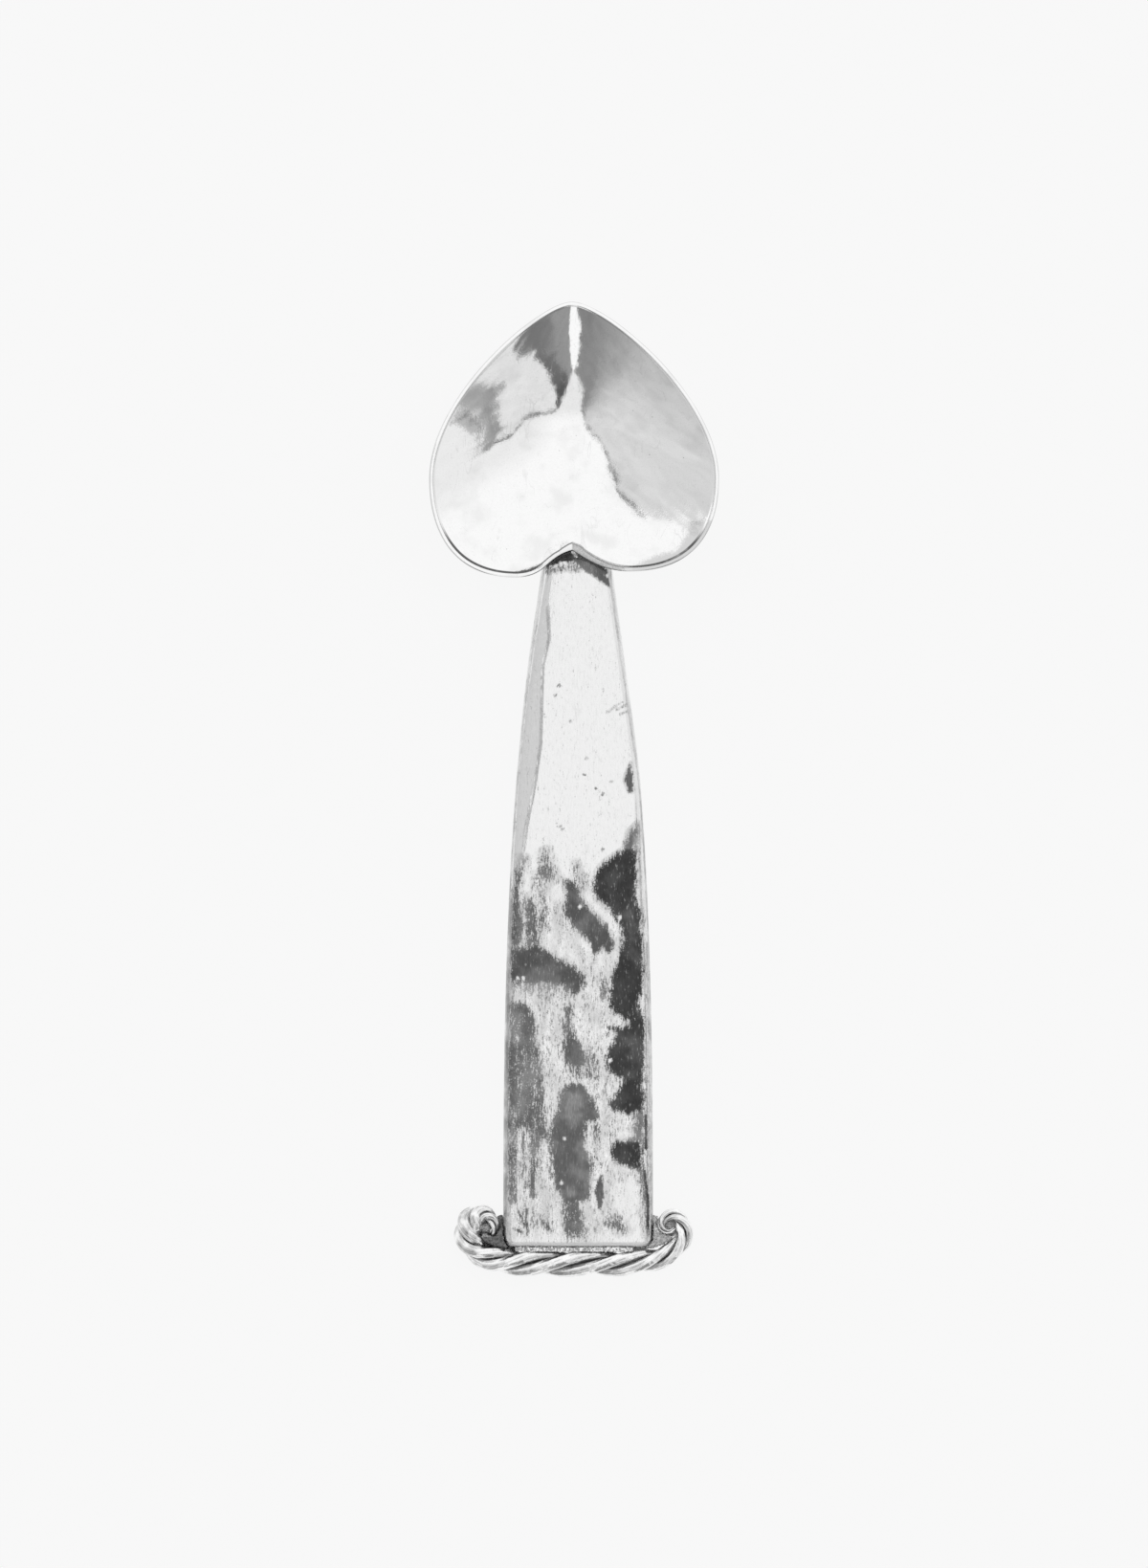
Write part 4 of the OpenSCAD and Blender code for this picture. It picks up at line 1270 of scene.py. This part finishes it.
def half_rope(curl):
    """Places, headings, sizes and twists of half of the rope, from its middle outwards."""
    side = curl["side"]
    share = np.linspace(0.0, 1.0, ROPE_STEPS + 1)
    middles = curl_heading(curl, (np.arange(ROPE_STEPS) + 0.5) / ROPE_STEPS)
    steps = np.column_stack((np.cos(middles), np.sin(middles))) / ROPE_STEPS
    line = np.concatenate((np.zeros((1, 2)), np.cumsum(steps, axis=0)))
    size = 1 - curl["thin"] * share ** curl["thin_power"]
    turned_back = np.interp(math.radians(270), curl_heading(curl, share), share)
    inner = np.interp(turned_back, share, line[:, 0])
    reach = HANDLE_WIDTH / 2 + side * (HANDLE_SHIFT - ROPE_SHIFT) + CURL_GAP
    length = (reach + ROPE_RADIUS * np.interp(turned_back, share, size)) / inner
    place = np.column_stack((ROPE_SHIFT + side * length * line[:, 0], ROPE_LINE + length * line[:, 1]))
    turned = curl_heading(curl, share)
    heading = side * turned

    # The rope swells inward where it turns up
    swell = curl["swell"] * np.exp(-((turned - SWELL_TURN) / SWELL_SPAN) ** 2)
    inward = np.column_stack((-side * np.sin(turned), np.cos(turned)))
    place = place + inward * (swell * ROPE_RADIUS)[:, None]
    size = size + swell
    twist = -math.tau * side * length * share / ROPE_PITCH * (1 + curl["faster"] * share ** 2)
    return place, heading, size, twist


def rope_stations():
    """Stations of the whole rope from its left end to its right end, with rounded ends."""
    left = half_rope(LEFT_CURL)
    right = half_rope(RIGHT_CURL)
    place, heading, size, twist = (np.concatenate((a[:0:-1], b)) for a, b in zip(left, right))
    whole = np.ones(len(size))

    def cap(which, direction):
        along = np.array((math.cos(heading[which]), math.sin(heading[which]))) * direction
        spots = np.array([place[which] + STRAND_END_ROUND * math.sin(a) * along for a in CAP_ANGLES])
        shrink = np.cos(CAP_ANGLES)
        same = np.ones(len(CAP_ANGLES))
        return spots, same * size[which], same * twist[which], shrink

    start = [a[::-1] for a in cap(0, -1)]
    end = cap(-1, 1)
    return [np.concatenate((a, b, c)) for a, b, c in zip(start, (place, size, twist, whole), end)]


def strand_tree():
    """Winds one strand round the rope's middle line and covers it with fine ridges."""
    tree, inside, out = new_group(
        "rope_strand_winding", "GeometryNodeTree",
        {"Geometry": SHAPE, "Strand Turn": 0.0, "Strand Orbit": MM, "Strand Radius": MM,
            "Rope Radius": 2 * MM, "Sides": 30, "Ridges": 6.0, "Ridge Depth": 0.05, "Ridge Lay": 0.6,
            "Wear Height": 0.05 * MM, "Wear Size": MM, "Seed": 1.0, "Material": FINISH},
        {"Geometry": SHAPE},
    )
    size, twist, shrink = (stored(tree, label) for label in STATION_LABELS)
    position = source(tree, "GeometryNodeInputPosition")
    line = add_node(tree, "GeometryNodeMeshToCurve", {"Mesh": inside["Geometry"]})
    kept_line = store(tree, line.outputs[0], "rope_axis", position, "FLOAT_VECTOR")

    # The strand circles the middle line as the rope twists
    tangent = source(tree, "GeometryNodeInputTangent")
    across = vector_calc("NORMALIZE", vector_calc("CROSS_PRODUCT", (0.0, 0.0, 1.0), tangent))
    angle = twist + inside["Strand Turn"]
    sideways = vector_times(across, calc("COSINE", angle))
    upward = combine(0.0, 0.0, calc("SINE", angle))
    orbit = inside["Strand Orbit"] * size
    offset = vector_times(vector_calc("ADD", sideways, upward), orbit)
    wound = add_node(tree, "GeometryNodeSetPosition", {"Geometry": kept_line, "Offset": offset})
    level = add_node(tree, "GeometryNodeSetCurveNormal", {"Curve": wound.outputs[0]}, mode="Z_UP")
    turned = add_node(tree, "GeometryNodeSetCurveTilt", {
        "Curve": level.outputs[0], "Tilt": twist * inside["Ridge Lay"],
    })

    # Section of the strand, with ridges
    circle = add_node(tree, "GeometryNodeCurvePrimitiveCircle", {
        "Resolution": inside["Sides"], "Radius": inside["Strand Radius"],
    })
    x, y, _ = split(position)
    round_angle = calc("ARCTAN2", y, x) * inside["Ridges"]
    ridge = (calc("COSINE", round_angle) - 1.0) * inside["Ridge Depth"]
    marked = store(tree, circle.outputs[0], "ridge", calc("COSINE", round_angle))
    section = add_node(tree, "GeometryNodeSetPosition", {
        "Geometry": marked, "Offset": vector_times(position, ridge),
    })
    body = add_node(tree, "GeometryNodeCurveToMesh", {
        "Curve": turned.outputs[0], "Profile Curve": section.outputs[0], "Scale": size * shrink,
        "Fill Caps": True,
    })

    # Crests lie furthest from the rope's middle line
    out_from_axis = vector_calc("DISTANCE", position, stored(tree, "rope_axis", "FLOAT_VECTOR"))
    full = inside["Rope Radius"] * size
    crest = store(tree, body.outputs[0], "crest", out_from_axis / full)
    lift = noise_lift(tree, inside["Wear Size"], inside["Seed"], inside["Wear Height"], 2.0, 0.5)
    return end_shape(tree, raise_by(tree, crest, lift), inside["Material"], out)


def make_rope():
    place, size, twist, shrink = rope_stations()
    count = len(size)
    points = np.column_stack((place, np.full(count, ROPE_RADIUS))) + NOTCH
    edges = [(i, i + 1) for i in range(count - 1)]
    ratio = math.sin(math.pi / STRAND_COUNT)
    orbit = (ROPE_RADIUS + STRAND_GAP / 2) / (1 + ratio)
    tree = strand_tree()
    metal = rope_pewter()
    for k in range(STRAND_COUNT):
        mesh = bpy.data.meshes.new("rope_line")
        mesh.from_pydata(points.tolist(), edges, [])
        keep_values(mesh, STATION_LABELS, (size, twist, shrink))
        strand = grow(
            f"strand_{k + 1}", mesh, tree,
            Strand_Turn=FIRST_STRAND_TURN + math.tau * k / STRAND_COUNT, Strand_Orbit=orbit,
            Strand_Radius=orbit * ratio - STRAND_GAP / 2, Rope_Radius=ROPE_RADIUS, Sides=56,
            Ridges=7.0, Ridge_Depth=0.03, Ridge_Lay=0.5, Wear_Height=0.16 * MM, Wear_Size=0.65 * MM,
            Seed=2.0 + k, Material=metal,
        )
        hand_over(strand, f"rope_strand_{k + 1}")


# Solder

SOLDER_VOXEL = 0.1 * MM
WELD_DISTANCE = 0.001 * MM
GRAIN_SIZES = (0.5, 1.2)
PLUG_FOOT = 0.15 * MM
LOW_PLUG = 1.05 * MM
HIGH_PLUG = 2.3 * MM


def solder_tree():
    """Makes solder lumpy and strews grains over it."""
    tree, inside, out = new_group(
        "solder_lumps", "GeometryNodeTree",
        {"Geometry": SHAPE, "Swell": 0.05 * MM, "Lump Height": 0.2 * MM, "Lump Size": 0.6 * MM,
            "Grain Radius": 0.14 * MM, "Grain Density": 4e6, "Seed": 1, "Material": FINISH},
        {"Geometry": SHAPE},
    )
    lift = noise_lift(tree, inside["Lump Size"], inside["Seed"], inside["Lump Height"], 2.0, 0.5)
    body = raise_by(tree, inside["Geometry"], lift + inside["Swell"])
    spots = add_node(tree, "GeometryNodeDistributePointsOnFaces", {
        "Mesh": body, "Density": inside["Grain Density"], "Seed": inside["Seed"],
    })
    grain = add_node(tree, "GeometryNodeMeshIcoSphere", {
        "Radius": inside["Grain Radius"], "Subdivisions": 1,
    })
    spread = add_node(tree, "FunctionNodeRandomValue", {"Seed": inside["Seed"]}, data_type="FLOAT")
    for socket, size in zip(spread.inputs[2:4], GRAIN_SIZES):
        socket.default_value = size
    grains = add_node(tree, "GeometryNodeInstanceOnPoints", {
        "Points": spots.outputs["Points"], "Instance": grain.outputs["Mesh"],
        "Rotation": spots.outputs["Rotation"], "Scale": spread.outputs[1],
    })
    both = tree.nodes.new("GeometryNodeJoinGeometry")
    feed(both.inputs[0], grains.outputs[0])
    feed(both.inputs[0], body)
    return end_shape(tree, both.outputs[0], inside["Material"], out)


def fine_copy(cad_node, plugs):
    """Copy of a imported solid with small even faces, and with plugs in the curls' eyes."""
    shell = bmesh.new()
    shell.from_mesh(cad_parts[cad_node].data)
    bmesh.ops.remove_doubles(shell, verts=shell.verts, dist=WELD_DISTANCE)
    for px, py, wide, long, top in plugs:
        middle = (top + PLUG_FOOT) / 2
        place = Matrix.Translation(((px - PHOTO_MIDDLE[0]) * PIXEL, (PHOTO_MIDDLE[1] - py) * PIXEL, middle))
        shape = Matrix.Diagonal((wide * PIXEL, long * PIXEL, middle - PLUG_FOOT, 1.0))
        bmesh.ops.create_icosphere(shell, subdivisions=3, radius=1.0, matrix=place @ shape)
    mesh = bpy.data.meshes.new(cad_node + "_fine")
    shell.to_mesh(mesh)
    shell.free()
    start = plain_object(cad_node + "_remesh", mesh)
    remesh = start.modifiers.new("even_faces", "REMESH")
    remesh.mode = "VOXEL"
    remesh.voxel_size = SOLDER_VOXEL
    return settled(start)


# Lighter places of the webs beside the curls, with a painted reflection on the right web: tone, cover, width
# of the soft border, corners in pixels
LEFT_WEB_LIGHTER = (
    (0.33, 1.6, 5, ((503, 1280), (510, 1278), (514, 1284), (512, 1290), (505, 1291), (502, 1286))),
)
RIGHT_WEB_REFLECTION = (
    (0.5, 1.6, 5, ((680, 1262), (692, 1262), (690, 1284), (680, 1288))),
)

# Solder joints: piece, solid, lump height, seed, cover, tone, painted patches, and plugs as pixel, half
# sizes and top
SOLDER_JOINTS = (
    ("neck_solder", "bowl_solder", 0.24 * MM, 3, 0.15, 0.3, NECK_SOLDER_SHADOWS, ()),
    ("rope_seam", "rope_solder", 0.16 * MM, 5, 0.5, 0.3, (), ()),
    ("left_web", "rope_solder_left", 0.25 * MM, 7, 1.3, 0.16, LEFT_WEB_LIGHTER, (
        (508, 1285, 13, 12, LOW_PLUG), (508, 1284, 7, 7, HIGH_PLUG), (531, 1304, 9, 6, LOW_PLUG),
        (513, 1300, 9, 5, LOW_PLUG), (523, 1280, 6, 10, LOW_PLUG))),
    ("right_web", "rope_solder_right", 0.25 * MM, 9, 1.2, 0.42, RIGHT_WEB_REFLECTION, (
        (700, 1282, 11, 11, LOW_PLUG), (667, 1304, 10, 6, LOW_PLUG), (684, 1279, 5, 9, LOW_PLUG))),
)


def make_solder():
    tree = solder_tree()
    dull = dull_solder()
    for name, cad_node, lump, seed, cover, tone, painted_patches, plugs in SOLDER_JOINTS:
        joint = grow(
            name, fine_copy(cad_node, plugs), tree,
            Swell=0.03 * MM, Lump_Height=lump, Lump_Size=0.7 * MM, Grain_Radius=0.14 * MM,
            Grain_Density=5e6, Seed=seed, Material=dull,
        )
        grains = NECK_GRAINS if cad_node == "bowl_solder" else ()
        paint(joint.data, painted_patches, cover, tone, bright_spots=grains)
        hand_over(joint, cad_node)


# Studio

CAMERA_DISTANCE = 3.0
SENSOR = 36.0
CAMERA_RANGE = 20.0
PALE = 0.947
FLOOR_REACH = 2.0
FLOOR_LEVEL = -0.02 * MM

# Half widths of the soft borders of panels and strips, as directions
SEAM = 0.006
STRIP_SEAM = 0.012

# Folds of the tent's cloth: fineness and depth
FOLDS = ((9.0, 0.06), (26.0, 0.1), (70.0, 0.06))

# Seams of the light tent, by directions: X of the left panel's edge and of the front
# panel's edge at each Y, then Y of the left panel's top and of the front seam at each X
LEFT_EDGE = (
    (-1.0, -0.18), (-0.92, -0.2), (-0.889, -0.255), (-0.861, -0.28), (-0.822, -0.245), (-0.75, -0.174),
    (-0.679, -0.139), (-0.637, -0.075), (-0.61, -0.135), (-0.574, -0.176), (-0.491, -0.171),
    (-0.343, -0.151), (-0.2, -0.196), (0.04, -0.238), (0.136, -0.338), (0.3, -0.346), (0.492, -0.283),
    (0.574, -0.289), (1.0, -0.29),
)
FRONT_EDGE = (
    (-1.0, 0.08), (-0.928, 0.099), (-0.9, 0.135), (-0.873, 0.146), (-0.827, 0.148), (-0.751, 0.079),
    (-0.678, 0.062), (-0.637, -0.045), (-0.607, 0.033), (-0.569, 0.105), (-0.488, 0.136), (-0.407, 0.172),
    (1.0, 0.172),
)
LEFT_TOP = (
    (-1.0, 0.2), (-0.733, 0.25), (-0.684, 0.31), (-0.638, 0.36), (-0.595, 0.395), (-0.543, 0.431),
    (-0.501, 0.461), (-0.455, 0.491), (-0.421, 0.495), (-0.354, 0.54), (-0.289, 0.574), (0.0, 0.6),
)
FRONT_SEAM = (
    (0.172, -0.407), (0.203, -0.347), (0.275, -0.292), (0.39, -0.255), (0.472, -0.258), (0.534, -0.247),
    (0.568, -0.174), (0.601, -0.112), (0.629, -0.065), (0.68, -0.056), (0.725, -0.031), (1.0, 0.0),
)

# On the front panel: slant at the dark band's edge and X at the dark strip's edge, at each Y
BAND_EDGE = (
    (-0.9, -0.28), (-0.764, -0.3), (-0.72, -0.329), (-0.659, -0.348), (-0.59, -0.334), (-0.512, -0.294),
    (-0.443, -0.253), (-0.36, -0.167), (-0.2, -0.12),
)
STRIP_EDGE = (
    (-0.7, 0.74), (-0.595, 0.7), (-0.576, 0.671), (-0.487, 0.7), (-0.395, 0.722), (-0.276, 0.706),
    (-0.183, 0.676), (-0.1, 0.683), (-0.03, 0.72), (0.2, 0.74),
)

# Brightness of the left panel, by degrees from straight ahead to the right
LEFT_SHADES = (
    (-180, 0.72), (-105, 0.71), (-78, 0.63), (-57, 0.59), (-46, 0.52), (-36, 0.35), (-27, 0.235),
    (-15, 0.23),
)


def by_stops(value, stops):
    """Value that goes straight from stop to stop."""
    tree = owner(value)
    places, heights = zip(*stops)
    first, last = places[0], places[-1]
    low, high = min(heights), max(heights)
    place = add_node(tree, "ShaderNodeMapRange", {"Value": value, "From Min": first, "From Max": last})
    ramp = tree.nodes.new("ShaderNodeValToRGB")
    feed(ramp.inputs[0], place.outputs[0])
    elements = ramp.color_ramp.elements
    elements.remove(elements[1])
    for k, (spot, height) in enumerate(stops):
        share = (spot - first) / (last - first)
        element = elements[0] if k == 0 else elements.new(share)
        element.position = share
        level = (height - low) / (high - low)
        element.color = (level, level, level, 1.0)
    return Wire(ramp.outputs["Color"]) * (high - low) + low


def light_tent():
    """Soft studio light: a white tent with a grey left panel and a patched front one."""
    world = bpy.data.worlds.new("light_tent")
    bpy.context.scene.world = world
    world.use_nodes = True
    tree = world.node_tree
    tree.nodes.clear()
    way = source(tree, "ShaderNodeTexCoord", "Generated")
    for fineness, depth in FOLDS:
        folds = add_node(tree, "ShaderNodeTexNoise", {"Vector": way, "Scale": fineness, "Detail": 2.0})
        fold = vector_calc("SUBTRACT", folds.outputs["Color"], (0.5, 0.5, 0.5))
        way = vector_calc("ADD", way, vector_times(fold, depth))
    x, y, z = split(way)
    aim = calc("DEGREES", calc("ARCTAN2", x, y * -1.0))

    past_left = x - by_stops(y, LEFT_EDGE)
    past_top = y - by_stops(x, LEFT_TOP)
    on_left = smooth_step(past_left, SEAM, -SEAM) * smooth_step(past_top, SEAM, -SEAM)
    white = mix(1.0, 0.87, smooth_step(x, 0.2, 0.55) * smooth_step(y, 0.3, 0.08))
    ahead = smooth_step(y, -0.1, -0.33) * smooth_step(y, -0.66, -0.62)
    white = mix(white, 0.84, ahead)
    low_left = smooth_step(z, 0.25, 0.75) * smooth_step(y, 0.1, -0.12)
    left = by_stops(aim, LEFT_SHADES) * mix(1.0, 1.15, low_left)
    light = mix(white, left, on_left)

    # Front panel: pale, with a dark strip and a bright one to the right, and a
    # dark band before its grey part ahead
    past_edge = x - by_stops(y, FRONT_EDGE)
    past_front = y - by_stops(x, FRONT_SEAM)
    on_front = smooth_step(past_front, SEAM, -SEAM) * smooth_step(past_edge, -SEAM, SEAM)
    slant = x * 0.8 + y
    strip = y * 0.12 + x
    strip_end = y * 0.247 + x
    past_strip = strip - by_stops(y, STRIP_EDGE)
    on_strip = smooth_step(past_strip, -STRIP_SEAM, STRIP_SEAM) * smooth_step(y, -0.64, -0.57)
    front = mix(0.79, mix(0.31, 0.4, smooth_step(past_strip, 0.01, 0.07)), on_strip)
    front = mix(front, 0.87, smooth_step(strip_end, 0.735, 0.765))
    past_band = slant - by_stops(y, BAND_EDGE)
    band = mix(0.16, 0.1, smooth_step(y, -0.66, -0.5))
    front = mix(front, band, smooth_step(past_band, STRIP_SEAM, -STRIP_SEAM))
    front = mix(front, 0.2, smooth_step(y, -0.735, -0.755))
    front = mix(front, 0.31, smooth_step(slant, -0.41, -0.52))
    light = mix(light, front, on_front)
    seam = smooth_step(calc("ABSOLUTE", past_front), 0.022, 0.012)
    seam = seam * smooth_step(x, 0.16, 0.2) * smooth_step(x, 0.76, 0.72)
    light = mix(light, 0.16, seam)

    # Thin fold along the lower part of the left panel's edge
    hem = smooth_step(calc("ABSOLUTE", past_left + 0.012), 0.024, 0.01)
    hem = hem * smooth_step(y, -0.5, -0.4) * smooth_step(past_top, 0.01, -0.01)
    hem = hem * smooth_step(clouds(way, 12.0), 0.34, 0.46)
    light = mix(light, 0.26, hem)

    # Cloth of the panels is uneven
    uneven = mix(0.93, 1.07, smooth_step(clouds(way, 15.0, 3.0), 0.3, 0.7))
    light = mix(light * uneven, light, smooth_step(light, 0.75, 0.95))

    seen = source(tree, "ShaderNodeLightPath", "Is Camera Ray")
    light = mix(light, PALE, seen)
    glow = add_node(tree, "ShaderNodeBackground", {"Color": grey(light)})
    leave = tree.nodes.new("ShaderNodeOutputWorld")
    feed(leave.inputs["Surface"], glow.outputs[0])


def make_floor():
    mesh = bpy.data.meshes.new("floor")
    signs = ((-1, -1), (1, -1), (1, 1), (-1, 1))
    corners = [(x * FLOOR_REACH, y * FLOOR_REACH, FLOOR_LEVEL) for x, y in signs]
    mesh.from_pydata(corners, [], [(0, 1, 2, 3)])
    mesh.materials.append(pale_floor())
    plain_object("floor", mesh)


def make_camera():
    """Looks straight down, with the frame of the photograph."""
    camera = bpy.data.cameras.new("camera")
    camera.sensor_width = SENSOR
    camera.lens = SENSOR * CAMERA_DISTANCE / (PHOTO_HEIGHT * PIXEL)
    camera.clip_end = CAMERA_RANGE
    seen_from = bpy.data.objects.new("camera", camera)
    middle_x = (PHOTO_WIDTH / 2 - PHOTO_MIDDLE[0]) * PIXEL
    middle_y = (PHOTO_MIDDLE[1] - PHOTO_HEIGHT / 2) * PIXEL
    seen_from.location = (middle_x, middle_y, CAMERA_DISTANCE)
    bpy.context.scene.collection.objects.link(seen_from)
    bpy.context.scene.camera = seen_from
    bpy.context.scene.view_settings.view_transform = "Standard"


make_camera()
light_tent()
make_floor()
make_bowl()
make_handle()
make_rope()
make_solder()
